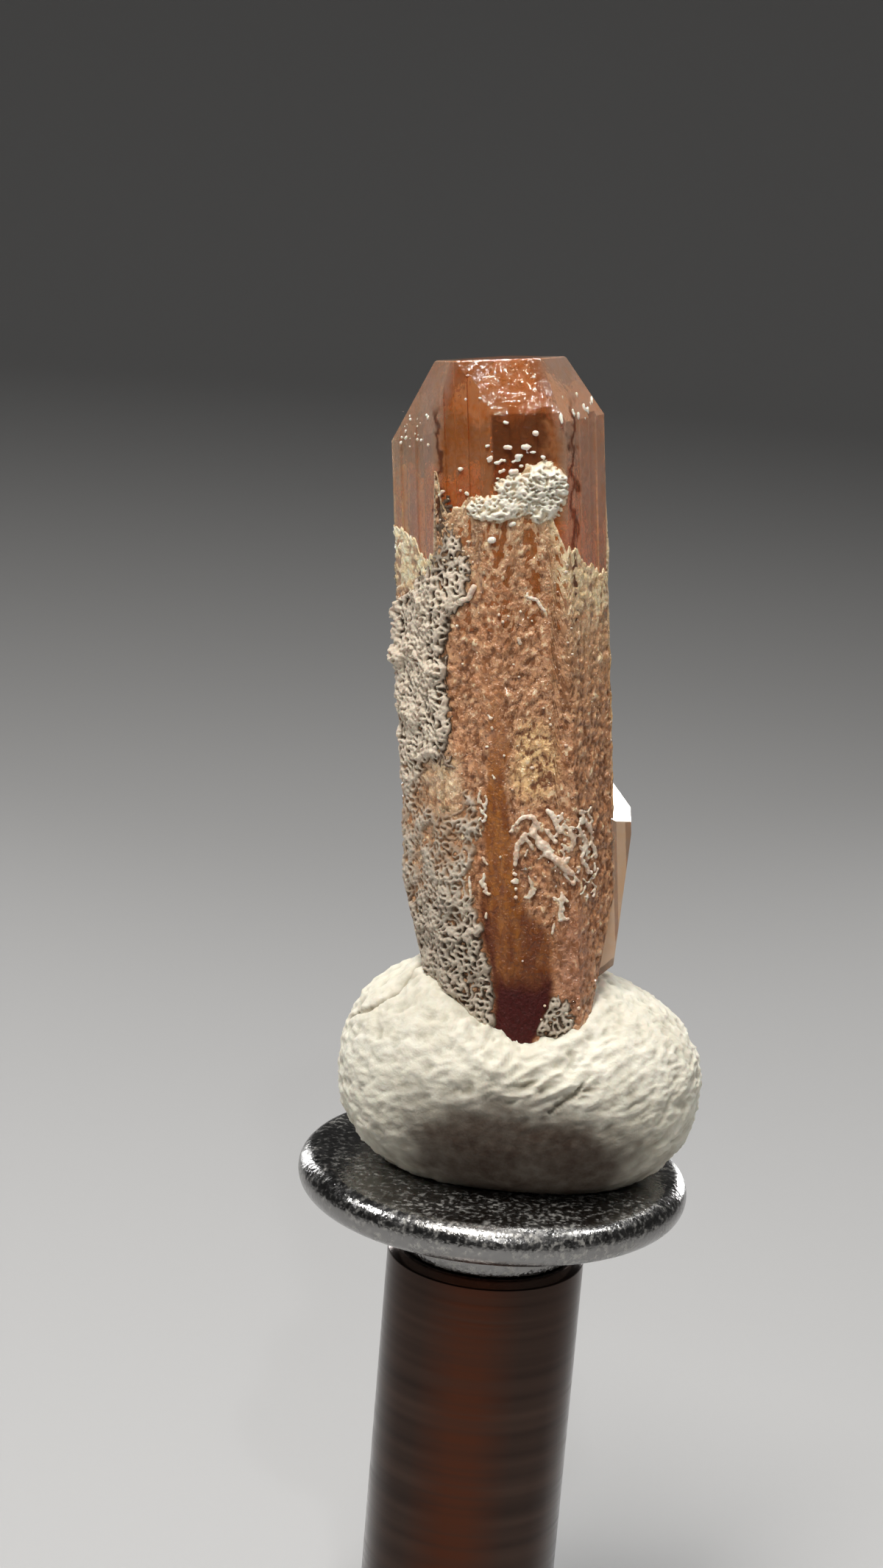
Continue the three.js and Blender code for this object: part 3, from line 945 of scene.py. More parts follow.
# %% Worms, drops and beads
def make_worms():
    """The clay worms and crumbs low on the right and on the body."""
    shape = bmesh.new()
    dice = random.Random(4)
    for radius, path in WORMS:
        add_worm(shape, radius, path, dice)
    for radius, (across, height) in CLAY_BEADS:
        add_ball(shape, across, height, radius)
    for low, high, count in WORM_BANDS:
        for _ in range(count):
            across, height = somewhere(dice, low, high)
            middle = (across + dice.uniform(-0.12, 0.2), height - dice.uniform(0.05, 0.25))
            end = (middle[0] + dice.uniform(-0.2, 0.15), middle[1] - dice.uniform(-0.05, 0.2))
            add_worm(shape, dice.uniform(0.055, 0.085), ((across, height), middle, end), dice)
    for low, high, count in CRUMB_BANDS:
        for _ in range(count):
            across, height = somewhere(dice, low, high)
            add_ball(shape, across, height, dice.uniform(0.05, 0.1), (dice.uniform(0.8, 1.4), 1, 0.9))
    return melt(shape, "clay_worms")


def make_drops():
    """The white drops round the frost and on the end facets."""
    shape = bmesh.new()
    dice = random.Random(9)
    for radius, (across, height) in DROPS:
        end = (across + radius * dice.uniform(0.2, 1.2), height + dice.uniform(-0.05, 0.08))
        add_worm(shape, radius, ((across - radius * 0.4, height), end), dice)
    low, high, count = DROP_BAND
    for _ in range(count):
        across, height = somewhere(dice, low, high)
        add_ball(shape, across, height, dice.uniform(0.05, 0.11), (dice.uniform(1.0, 2.2), 1, 0.8))
    for facet, low, high, count, tall in FACET_BANDS:
        for _ in range(count):
            half = dice.uniform(0.045, 0.1)
            across, height = somewhere(dice, low, high)
            add_facet_drop(shape, facet, across, height, (half, half * 0.6, half * tall))
    return melt(shape, "frost_drops")


def make_glass_beads():
    """Round beads of clear silica among the worms."""
    shape = bmesh.new()
    for radius, (across, height) in GLASS_BEADS:
        centre = taper(on_prism(turn_at(across), height, STAND + radius * 0.35))
        bmesh.ops.create_icosphere(shape, subdivisions=4, radius=radius, matrix=Matrix.Translation(centre))
    return finish_piece(shape, "silica_beads", CRYSTAL_PLACE)


clay_worms = make_worms()
frost_drops = make_drops()
silica_beads = make_glass_beads()

# %% [markdown]
# ## Putty
# The holder's putty is a soft, matt ball that the crystal was pushed into. It bulges in two lobes, creases
# under the crystal, and its skin is finely wrinkled where it was kneaded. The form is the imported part's own
# rounded block. Its wrinkles follow ridged noise that is drawn out on a slant, and are deeper where a thumb
# has pressed. Two cracks follow short paths, and one stretch low on the front is rubbed smooth.

# %% The putty's form and skin
PUTTY_MIDDLE = Vector((0.76, 0, 4.9))
PUTTY_HALF = Vector((7.7, 5.8, 5.0))
PUTTY_RISE_LEFT = 5.3
PUTTY_RISE_RIGHT = 4.3
PUTTY_FULLNESS = 2.35
PUTTY_FLOOR = 0.95
CREASE_DEPTH = 1.35
CREASE_HALF_WIDTH = 3.9
LIP_RADIUS = 3.9
LIP_HEIGHT = 0.28
THUMB_PRESS = Vector((0.2, -5.0, 1.6))
THUMB_REACH = 4.2
CRACKS = [
    (((-4.3, -0.6, 4.5), (-5.42, -2.23, 3.68), (-6.46, -2.07, 2.88), (-7.5, -0.6, 1.9)), 0.2, 0.3),
    (((3.1, -5.1, 2.1), (2.29, -5.55, 1.08), (1.3, -5.74, 0.3)), 0.14, 0.2),
]


def near_path(point, path):
    """The distance from a point to a path of straight stretches."""
    nearest = 1e9
    for start, end in zip(path, path[1:]):
        start, end = Vector(start), Vector(end)
        along = end - start
        share = min(1.0, max(0.0, (point - start).dot(along) / along.length_squared))
        nearest = min(nearest, (point - start - along * share).length)
    return nearest


def putty_skin(way):
    """The putty's smooth form in a direction from its middle, with its crease."""
    norm = sum(abs(part) ** PUTTY_FULLNESS for part in way) ** (1 / PUTTY_FULLNESS)
    way = way / norm
    rise = PUTTY_RISE_LEFT + (PUTTY_RISE_RIGHT - PUTTY_RISE_LEFT) * (way.x + 1) / 2
    half_height = rise if way.z > 0 else PUTTY_HALF.z
    point = Vector((way.x * PUTTY_HALF.x, way.y * PUTTY_HALF.y, way.z * half_height))
    beside = max(0.0, 1 - abs(point.x) / CREASE_HALF_WIDTH)
    creased = beside * ramp(-point.y, 0, 3.5) * ramp(way.z, 0, 0.8)
    point.z -= CREASE_DEPTH * creased
    return point


def putty_wrinkles(point):
    """How far the putty's skin stands in or out at a point, in millimetres."""
    slanted = Vector((point.x * 0.8 + point.z * 0.7, point.y, point.z * 1.9 - point.x * 1.2))
    pressed = ramp(THUMB_REACH - (point - THUMB_PRESS).length, 0, 2.6)
    ridge = 0.5 - abs(ripple(slanted, 1.25, 1.0))
    small_ridge = 0.4 - abs(ripple(slanted, 0.6, 5.0))
    pebbled = ripple(point, 0.55, 9.0)
    height = (0.14 + 0.34 * pressed) * ridge + (0.13 + 0.14 * pressed) * small_ridge + 0.09 * pebbled
    height += 0.04 * ripple(point, 0.2, 13.0)
    height *= 1 - 0.8 * smudge_and_shade(point)
    for path, width, depth in CRACKS:
        away = near_path(point, path) + 0.08 * ripple(point, 0.5, 17.0)
        height -= depth * (1 - ramp(away, 0.02, width))
    return height


def smudge_and_shade(point):
    """The smooth stretch low on the front, which the finish darkens: partly stained, partly painted shade."""
    away = Vector(((point.x - 0.3) / 5.6, (point.z + 2.2 + 0.08 * point.x) / 3.2))
    wobble = 0.18 * ripple(point, 1.4, 25.0) + 0.1 * ripple(point, 0.45, 29.0)
    return (1 - ramp(away.length + wobble, 0.6, 1.3)) * ramp(-point.y, 1.2, 3.2)


# %% [markdown]
# The ball itself starts as a fine sphere, whose points are all moved to the putty's skin. A lip rises round
# the crystal, where it pushed the putty up, and the flange cuts the underside flat. The mesh keeps the smooth
# stretch, which the finish darkens as painted shade and a stain, and the depth of the wrinkles for the
# finish.

# %% Putty
def make_putty():
    """The putty ball on the flange."""
    shape = bmesh.new()
    bmesh.ops.create_uvsphere(shape, u_segments=400, v_segments=232, radius=1)
    stretch_shade_layer = shape.verts.layers.float.new("smudge_and_shade")
    hollow_layer = shape.verts.layers.float.new("hollow")
    into_crystal = CRYSTAL_PLACE.inverted()
    for vertex in shape.verts:
        way = vertex.co.normalized()
        point = putty_skin(way)
        wrinkle = putty_wrinkles(point)
        placed = point + PUTTY_MIDDLE + Vector((0, 0, FLANGE_MID))
        in_crystal = into_crystal @ (placed * MM)
        away = in_crystal.xy.length - LIP_RADIUS
        lip = LIP_HEIGHT * (1 - ramp(abs(away), 0.0, 1.0)) * ramp(way.z, 0.1, 0.5)
        placed = placed + way * (wrinkle + lip)
        placed.z = max(placed.z, FLANGE_MID + PUTTY_FLOOR)
        vertex[stretch_shade_layer] = smudge_and_shade(point)
        vertex[hollow_layer] = wrinkle
        vertex.co = placed
    return finish_piece(shape, "putty_ball", Matrix.Scale(MM, 4))


putty = make_putty()

# %% [markdown]
# ## The post
# The holder is a turned post: a flange with a round rim on a filleted neck, a plain rod, and a plain foot.
# Turned parts are spun from half of their section, as a lathe makes them. The photograph cuts the post off
# above its foot, so the foot is a plain guess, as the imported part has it.

# %% Turned parts
TURN_STEPS = 160
FLANGE_RADIUS = 8.45
RIM_ROUND = 0.9
NECK_RADIUS = 3.8
NECK_FILLET = 1.5
NECK_LENGTH = 2.2
ROD_RADIUS = 4.3
ROD_CHAMFER = 0.3
FOOT_RADIUS = 10.0
FOOT_THICKNESS = 2.4
FOOT_CHAMFER = 0.5
BROKEN_EDGE = 0.06
JOIN_GAP = 0.05
NECK_LOW = FLANGE_MID - RIM_ROUND - NECK_LENGTH
ROD_TOP = NECK_LOW - JOIN_GAP
ROD_LOW = FOOT_THICKNESS + JOIN_GAP


def arc(radius, height, size, start, end, steps):
    """Points along an arc of a turned section, from one angle in degrees to another."""
    points = []
    for step in range(steps + 1):
        angle = math.radians(start + (end - start) * step / steps)
        points.append((radius + size * math.cos(angle), height + size * math.sin(angle)))
    return points


def spin_round(section, steps, merge):
    """Spins a half section of radius and height once round. Points closer than merge become one."""
    shape = bmesh.new()
    corners = [shape.verts.new((radius, 0, height)) for radius, height in section]
    edges = [shape.edges.new(pair) for pair in zip(corners, corners[1:])]
    bmesh.ops.spin(shape, geom=corners + edges, cent=(0, 0, 0), axis=(0, 0, 1), angle=math.tau, steps=steps,
                   use_merge=True)
    bmesh.ops.remove_doubles(shape, verts=shape.verts, dist=merge)
    bmesh.ops.recalc_face_normals(shape, faces=shape.faces)
    return shape


def make_turned(name, section):
    """A turned part with its sharp edges broken."""
    shape = spin_round(section, TURN_STEPS, 1e-4)
    sharp = [edge for edge in shape.edges if edge.calc_face_angle(0) > math.radians(30)]
    outer = [edge for edge in sharp if edge.verts[0].co.xy.length > 0.1]
    bmesh.ops.bevel(shape, geom=outer, offset=BROKEN_EDGE, segments=2, affect="EDGES", profile=0.5,
                    material=-1)
    return finish_piece(shape, name, Matrix.Scale(MM, 4))


fillet_middle = NECK_RADIUS + NECK_FILLET
head = make_turned("flange_head", [
    (0, NECK_LOW), (NECK_RADIUS, NECK_LOW),
    *arc(fillet_middle, FLANGE_MID - RIM_ROUND - NECK_FILLET, NECK_FILLET, 180, 90, 12),
    *arc(FLANGE_RADIUS - RIM_ROUND, FLANGE_MID, RIM_ROUND, -90, 90, 24),
    (0, FLANGE_MID + RIM_ROUND)])
rod = make_turned("rod", [
    (0, ROD_LOW), (ROD_RADIUS, ROD_LOW),
    (ROD_RADIUS, ROD_TOP - ROD_CHAMFER), (ROD_RADIUS - ROD_CHAMFER, ROD_TOP), (0, ROD_TOP)])
foot = make_turned("foot", [
    (0, 0), (FOOT_RADIUS - FOOT_CHAMFER / 2, 0), (FOOT_RADIUS, FOOT_CHAMFER / 2),
    (FOOT_RADIUS, FOOT_THICKNESS - FOOT_CHAMFER), (FOOT_RADIUS - FOOT_CHAMFER, FOOT_THICKNESS),
    (0, FOOT_THICKNESS)])

# %% [markdown]
# ## Which imported piece each one stands for
# The new pieces take the place of the imported solids, which stay hidden for the physics.

# %% Replacing the imported solids
deposits = [*grey_crusts, frost_crust, clay_worms, frost_drops, silica_beads]
for piece in (clear_crystal, side_crystal, etched_crystal, *deposits):
    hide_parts("topaz_crystal")
for piece, node in ((putty, "putty"), (head, "post_head"), (rod, "post_rod"), (foot, "post_foot")):
    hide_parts(node)

# %% [markdown]
# ## Finish: clear topaz
# A clear crystal shows its own far side. On the real one the far long edges show through the front as dark
# wavering lines, and the middle of the front is a dark window, because no far facet lies behind it to send
# light back. The pale stage would drown both, so they are drawn as masks at their places on the prism.

# %% Dark places inside the clear topaz
INNER_EDGES = (-2.4, 3.1)
WINDOW_LEFT = (-0.2, -0.08)
WINDOW_RIGHT = (2.3, 1.9)
WINDOW_TOP = (27.3, 27.2)
WINDOW_FOOT = (24.0, 24.5)
FRONT_FACE = (-1.5, -2.0)
UNDER_FACETS = (27.9, 27.2)


def inner_edges(finish, place):
    """Dark wavering lines, where the far long edges of the prism show through the front."""
    sides = finish.sides(place)
    bend = finish.spread(finish.speckle(place, 0.7), 0.3, 0.7, -0.2, 0.2)
    lines = []
    for across in INNER_EDGES:
        away = finish.maths("ADD", finish.maths("SUBTRACT", sides["X"], across), bend)
        lines.append(finish.spread(finish.maths("ABSOLUTE", away), 0.15, 0.04))
    below = finish.spread(sides["Z"], *UNDER_FACETS)
    return finish.maths("MULTIPLY", finish.maths("MAXIMUM", *lines), below)


def inner_window(finish, place):
    """The dark window in the front face. Its right border wavers."""
    sides = finish.sides(place)
    bend = finish.spread(finish.speckle(place, 0.5), 0.3, 0.7, -0.3, 0.3)
    bent = finish.maths("ADD", sides["X"], bend)
    mask = finish.spread(sides["Y"], *FRONT_FACE)
    upright = sides["Z"]
    borders = ((sides["X"], WINDOW_LEFT), (upright, WINDOW_TOP), (upright, WINDOW_FOOT), (bent, WINDOW_RIGHT))
    for value, border in borders:
        mask = finish.maths("MULTIPLY", mask, finish.spread(value, *border))
    return mask


# %% [markdown]
# Clear topaz bends light more than window glass does, and its colour comes from its depth: blue and green
# die out within a few millimetres, and orange is left. So the surface is glass with a little haze, and a
# volume inside takes the colour away with distance. The front is also tinted deeper and the flanks paler, as
# painted shade and light for the longer and shorter paths through the crystal. A very shallow relief gives
# the hammered look that growth and etching leave on the faces.

# %% Clear topaz
CLEAR_DENSITY = 205.0
CLEAR_COLOUR = (0.83, 0.415, 0.024, 1)
HAZE = 0.22
DEEP_FRONT = (0.85, 0.31, 0.08, 1)
MILKY_FRONT = (0.95, 0.46, 0.20, 1)
DEEP_FLANK = (1.0, 0.74, 0.50, 1)
MILKY_FLANK = (1.0, 0.82, 0.64, 1)
WINDOW_DARK = (0.26, 0.10, 0.04, 1)
EDGE_DARK = (0.16, 0.05, 0.02, 1)


def flank_mask(finish, place):
    """1 on the flanks of the prism. The border leans in above the end facets' lower edges."""
    sides = finish.sides(place)
    beyond = finish.maths("ABSOLUTE", finish.maths("SUBTRACT", sides["X"], 0.15))
    raised = finish.maths("MAXIMUM", finish.maths("SUBTRACT", sides["Z"], 26.0), 0.0)
    return finish.spread(finish.maths("MULTIPLY_ADD", raised, 0.25, beyond), 2.3, 2.8)


def clear_topaz(name, relief):
    """See-through topaz with a hammered relief of the given depth in millimetres."""
    finish = Finish(name)
    place = crystal_place(finish)
    streaks = finish.speckle(crystal_place(finish, (1, 1, 5)), 0.5)
    height = finish.maths("ADD", streaks, finish.speckle(place, 0.5))
    height = finish.maths("MULTIPLY_ADD", finish.speckle(place, 0.2), 0.5, height)
    frosted = mottle(finish, place, 1.6, 0.25, 3.0)
    front = finish.blend(frosted, DEEP_FRONT, MILKY_FRONT)
    flank = finish.blend(frosted, DEEP_FLANK, MILKY_FLANK)
    # Painted shade: the front is tinted deeper and the flanks paler, for the longer and shorter paths of
    # light through the crystal.
    tint = finish.blend(flank_mask(finish, place), front, flank)
    tint = finish.blend(finish.maths("MULTIPLY", inner_window(finish, place), 0.8), tint, WINDOW_DARK)
    tint = finish.blend(finish.maths("MULTIPLY", inner_edges(finish, place), 0.85), tint, EDGE_DARK)
    finish.shade(Base_Color=tint, IOR=1.62, Transmission_Weight=1.0 - HAZE,
                 Roughness=finish.spread(frosted, 0.5, 1.0, 0.01, 0.12),
                 Normal=finish.relief(height, relief))
    volume = finish.add("ShaderNodeVolumeAbsorption", {"Color": CLEAR_COLOUR, "Density": CLEAR_DENSITY})
    finish.links.new(volume.outputs[0], finish.output.inputs["Volume"])
    return finish


clear_topaz("clear_topaz", 0.04).on(clear_crystal)
clear_topaz("side_topaz", 0.006).on(side_crystal)

# %% [markdown]
# ## Finish: etched topaz
# Etched topaz scatters light, so it glows softly from inside, and single grains flash. Its colours follow the
# zones kept by the mesh: tan for most of it, a pink patch, a yellow patch that is a painted glow, cream for
# the veil, which is partly a painted glow, and a cloudy orange-brown wedge that ends in dark ember red. Pits
# are painted darker, as painted shade, and the grains that stand proud are painted paler, as painted
# highlights.
# Both follow the real relief, so that colour and form agree.

# %% Colours of the etched topaz
TAN_PALE = (0.66, 0.31, 0.145, 1)
TAN_DEEP = (0.48, 0.20, 0.08, 1)
TAN_PATCH = (0.72, 0.43, 0.24, 1)
PINK = (0.50, 0.23, 0.12, 1)
AMBER_GLOW = (1.0, 0.64, 0.31, 1)
PIT_SHADE_BROWN = (0.23, 0.085, 0.03, 1)
PROUD_GRAIN_HIGHLIGHT = (0.95, 0.72, 0.46, 1)
VEIL_CREAM_GLOW = (1.0, 0.90, 0.63, 1)
VEIL_PEACH_GLOW = (1.0, 0.74, 0.46, 1)
VEIL_PIT_SHADE = (0.95, 0.60, 0.31, 1)
WEDGE_DARK = (0.20, 0.05, 0.004, 1)
WEDGE_LIGHT = (0.38, 0.13, 0.016, 1)
EMBER_RED = (0.06, 0.002, 0.0005, 1)


def etched_skin(finish, place):
    """The skin's tan with its patches; the yellow one is a painted glow."""
    streaks = finish.spread(finish.speckle(crystal_place(finish, (1, 1, 7)), 0.6), 0.35, 0.65)
    patches = mottle(finish, place, 2.2, 0.4, 2.6)
    skin = finish.blend(streaks, TAN_PALE, TAN_DEEP)
    skin = finish.blend(finish.maths("MULTIPLY", patches, 0.5), skin, TAN_PATCH)
    skin = finish.blend(finish.kept("pink"), skin, PINK)
    # Painted glow: the yellow patch is paler and brighter.
    return finish.blend(finish.kept("amber_glow"), skin, AMBER_GLOW)


def etched_grain_shading(finish, skin, grain):
    """The skin with painted shade in its pits and painted highlights on the grains that stand proud, and a
    mask of the pits.
    """
    rugged = finish.maths("SUBTRACT", 1.0, finish.maths("MULTIPLY", finish.kept("wedge"), 0.85))
    hollow = finish.spread(finish.kept("relief"), 0.01, -0.06)
    uneven = finish.maths("MULTIPLY", finish.maths("ADD", hollow, grain), 0.5)
    pitted = finish.maths("MULTIPLY", uneven, rugged)
    # Painted shade: the pits are darkened.
    skin = finish.blend(finish.spread(pitted, 0.2, 0.75), skin, PIT_SHADE_BROWN)
    # Painted highlights: the grains that stand proud are paled.
    proud = finish.spread(finish.kept("relief"), 0.02, 0.07)
    grain_highlight = finish.maths("MULTIPLY", proud, finish.spread(grain, 0.45, 0.1), clamp=True)
    return finish.blend(grain_highlight, skin, PROUD_GRAIN_HIGHLIGHT), pitted


def etched_veil(finish, place, skin, pitted):
    """The skin with its streaky veil, cream on the left and peach on the right. Its pale colour is partly a
    painted glow, and it is darker in the pits, as painted shade.
    """
    streaks = finish.spread(finish.speckle(crystal_place(finish, (3, 3, 1)), 0.5), 0.35, 0.6, 0.4, 1.5)
    veil = finish.maths("MULTIPLY", finish.kept("veil"), streaks, clamp=True)
    colour = finish.blend(finish.spread(finish.sides(place)["X"], -1.0, 1.0), VEIL_CREAM_GLOW, VEIL_PEACH_GLOW)
    # The veil's pale colour is partly a painted glow; in its pits it is darker, as painted shade.
    return finish.blend(veil, skin, finish.blend(pitted, colour, VEIL_PIT_SHADE))


# %% [markdown]
# The finish itself puts the layers over each other. Subsurface scattering gives the glow, and a glossy coat
# with the glitter group gives the flashes. The wedge is smooth, so the glitter fades out on it, and the
# ember has no coat at all, to stay deep.

# %% Etched topaz
def etched_topaz():
    """Frosted topaz with its zones of colour."""
    finish = Finish("etched_topaz")
    place = crystal_place(finish)
    grain = mottle(finish, crystal_place(finish, (1, 1, 1.3)), 0.32, 0.12, 3.6)
    skin, pitted = etched_grain_shading(finish, etched_skin(finish, place), grain)
    skin = etched_veil(finish, place, skin, pitted)
    cloudy = mottle(finish, crystal_place(finish, (1, 1, 3)), 0.9, 0.25, 2.6)
    smooth = finish.kept("wedge")
    ember = finish.kept("ember")
    skin = finish.blend(smooth, skin, finish.blend(cloudy, WEDGE_DARK, WEDGE_LIGHT))
    skin = finish.blend(ember, skin, EMBER_RED)
    rough = finish.spread(finish.speckle(place, 0.2), 0.3, 0.7, 0.25, 0.55)
    bumps = finish.relief(grain, 0.04)
    sparkle = glitter(finish, place, 0.13, finish.spread(smooth, 0.0, 1.0, 0.7, 0.05), bumps)
    gloss = finish.spread(grain, 0.2, 0.8, 0.9, 0.3)
    gloss = finish.maths("MULTIPLY", gloss, finish.spread(ember, 0.0, 0.8, 1.0, 0.0))
    finish.shade(Base_Color=skin, IOR=1.4, Subsurface_Weight=0.3, Subsurface_Radius=(1.0, 0.45, 0.2),
                 Subsurface_Scale=0.0004, Coat_Weight=gloss, Coat_Roughness=0.06, Coat_IOR=1.6,
                 Roughness=finish.maths("ADD", rough, finish.maths("MULTIPLY", ember, 0.3)),
                 Normal=bumps, Coat_Normal=sparkle)
    return finish


etched_topaz().on(etched_crystal)

# %% [markdown]
# ## Finish: dried clay
# The crust's ridges are pale grey clay. The mesh keeps how high each point stands, and the colour follows
# that height: thin clay between the ridges is darker, partly because the topaz shows through it and partly as
# painted shade. Below the middle of the prism the ridges are darker, as painted shade, and mottled stains
# darken them here and there. Where the cover is thin, the gaps between them are tan.

# %% Dried clay
GREY_RIDGE = (0.78, 0.67, 0.53, 1)
GREY_HOLLOW_SHADE = (0.09, 0.055, 0.03, 1)
WHITE_RIDGE = (1.0, 0.94, 0.79, 1)
WHITE_HOLLOW_SHADE = (0.90, 0.73, 0.52, 1)
TAN_HOLLOW = (0.46, 0.28, 0.16, 1)


def dried_clay(name, ridge, hollow, wet):
    """Crust in a ridge colour and a hollow colour, darker low between the ridges partly as painted shade. wet
    adds a gloss.
    """
    finish = Finish(name)
    place = crystal_place(finish)
    stained = mottle(finish, place, 1.8, 0.3, 2.0)
    upright = finish.sides(place)["Z"]
    # Painted shade: the ridges are darker below the middle of the prism, and mottled stains darken them here
    # and there.
    shade_and_mottle = finish.maths("MULTIPLY", finish.spread(upright, 13.5, 10.0), 0.6)
    shade_and_mottle = finish.maths("MULTIPLY_ADD", stained, 0.3, shade_and_mottle, clamp=True)
    top = finish.blend(shade_and_mottle, ridge, [part * 0.5 for part in ridge[:3]] + [1])
    thin = finish.maths("MULTIPLY", finish.spread(upright, 6.0, 8.0), finish.spread(upright, 13.5, 12.0))
    hollow = finish.blend(finish.maths("MULTIPLY", thin, 0.75), hollow, TAN_HOLLOW)
    # Painted shade, with the topaz showing through: the clay is darker where it stands low between the
    # ridges.
    skin = finish.blend(finish.spread(finish.kept("rise"), 0.0, 0.11), hollow, top)
    fine = finish.speckle(place, 0.07)
    skin = finish.blend(finish.spread(fine, 0.55, 0.8, 0.0, 0.5), skin, hollow)
    finish.shade(Base_Color=skin, Roughness=finish.spread(fine, 0.3, 0.7, 0.55 - wet, 0.95 - wet),
                 Normal=finish.relief(fine, 0.03), Subsurface_Weight=0.15, Subsurface_Scale=0.0003,
                 Coat_Weight=wet, Coat_Roughness=0.08)
    return finish


dried_clay("grey_clay", GREY_RIDGE, GREY_HOLLOW_SHADE, 0.0).on(*grey_crusts)
dried_clay("white_clay", WHITE_RIDGE, WHITE_HOLLOW_SHADE, 0.3).on(frost_crust)

# %% [markdown]
# The worms and drops are the same clay, washed smooth, so they are paler and shine a little. The round beads
# among them are clear silica.

# %% Washed clay and silica
WASHED_PALE = (0.95, 0.81, 0.66, 1)
WASHED_DARK = (0.62, 0.44, 0.30, 1)
FROST_PALE = (1.0, 0.95, 0.84, 1)
FROST_DARK = (0.80, 0.66, 0.52, 1)
SILICA_CLEAR = (0.95, 0.9, 0.85, 1)


def washed_clay(name, pale, dark):
    """Smooth clay with a slight gloss."""
    finish = Finish(name)
    place = crystal_place(finish)
    skin = finish.blend(mottle(finish, place, 0.9, 0.15, 2.2), pale, dark)
    fine = finish.speckle(place, 0.09)
    finish.shade(Base_Color=skin, Roughness=finish.spread(fine, 0.3, 0.7, 0.3, 0.6), Coat_Weight=0.7,
                 Coat_Roughness=0.05, Normal=finish.relief(fine, 0.03), Subsurface_Weight=0.3,
                 Subsurface_Scale=0.0003)
    return finish


def silica():
    """Clear, colourless beads."""
    finish = Finish("silica")
    place = crystal_place(finish)
    finish.shade(Base_Color=SILICA_CLEAR, IOR=1.5, Transmission_Weight=1.0,
                 Roughness=finish.spread(finish.speckle(place, 0.15), 0.3, 0.7, 0.02, 0.12))
    return finish


washed_clay("washed_clay", WASHED_PALE, WASHED_DARK).on(clay_worms)
washed_clay("frost_white", FROST_PALE, FROST_DARK).on(frost_drops)
silica().on(silica_beads)

# %% [markdown]
# ## Finish: mounting putty
# The putty is a matt mix of chalk and oil, cream-white and a little translucent. It is darker in its hollows,
# and low on the front a smooth stretch is darkened to brown, partly a stain and partly painted shade.

# %% Mounting putty
PUTTY_DEEP = (0.68, 0.64, 0.52, 1)
PUTTY_PALE = (0.78, 0.75, 0.64, 1)
PUTTY_HOLLOW_TONE = (0.30, 0.26, 0.18, 1)
# Painted shade and a brown stain, for the smooth stretch low on the front.
PUTTY_STAIN_AND_SHADE = (0.045, 0.024, 0.013, 1)


def mounting_putty():
    """Matt cream putty, darker in its hollows, with a smooth stretch darkened as painted shade and partly
    stained.
    """
    finish = Finish("mounting_putty")
    place = finish.place()
    cloudy = mottle(finish, place, 3.0, 0.5, 1.8)
    skin = finish.blend(cloudy, PUTTY_DEEP, PUTTY_PALE)
    hollow = finish.spread(finish.kept("hollow"), 0.06, -0.10)
    # Darker in the hollows of the wrinkles.
    skin = finish.blend(finish.maths("MULTIPLY", hollow, 0.7), skin, PUTTY_HOLLOW_TONE)
    stain_and_shade = finish.maths("MULTIPLY", finish.kept("smudge_and_shade"), finish.spread(cloudy, 0.0, 1.0, 1.0, 0.88))
    # Painted shade, partly a stain: the smooth stretch low on the front is darkened to brown.
    skin = finish.blend(stain_and_shade, skin, PUTTY_STAIN_AND_SHADE)
    fine = finish.speckle(place, 0.12, 4.0)
    finish.shade(Base_Color=skin, Roughness=finish.spread(fine, 0.3, 0.7, 0.7, 0.95),
                 Normal=finish.relief(fine, 0.03), Subsurface_Weight=0.12, Subsurface_Scale=0.0005)
    return finish


mounting_putty().on(putty)

# %% [markdown]
# ## Finish: turned metal
# The flange is bright metal with fine pits and putty dust. The rod is darker, with fine turning marks all
# round it and a warm band down its middle, a painted reflection. The foot has a satin finish, with a faint
# painted reflection of the same kind. The marks are noise that is drawn out sixty times across the post, so
# that only its rings are left.

# %% Turned metal
BRIGHT_METAL = (0.27, 0.265, 0.26, 1)
PUTTY_DUST = (0.44, 0.43, 0.40, 1)
RING_STRETCH = (60, 60, 1)
ROD_LIGHT = (0.07, 0.045, 0.035, 1)
ROD_DARK = (0.035, 0.024, 0.02, 1)
ROD_REFLECTION = (0.09, 0.032, 0.018, 1)
FOOT_LIGHT = (0.42, 0.40, 0.39, 1)
FOOT_DARK = (0.34, 0.32, 0.31, 1)
FOOT_REFLECTION = (0.38, 0.35, 0.33, 1)


def pitted_metal():
    """Bright metal with pits and dusty specks."""
    finish = Finish("pitted_metal")
    place = finish.place()
    specks = finish.spread(finish.speckle(place, 0.22, 4.0), 0.5, 0.62)
    dusty = mottle(finish, place, 2.5, 0.3, 2.5)
    dust = finish.maths("MULTIPLY", specks, dusty)
    skin = finish.blend(dust, BRIGHT_METAL, PUTTY_DUST)
    pits = finish.relief(finish.speckle(place, 0.18), 0.022)
    finish.shade(Base_Color=skin, Metallic=finish.spread(dust, 0.0, 1.0, 1.0, 0.5),
                 Roughness=finish.spread(dusty, 0.0, 1.0, 0.12, 0.32),
                 Normal=glitter(finish, place, 0.1, 0.09, pits))
    return finish


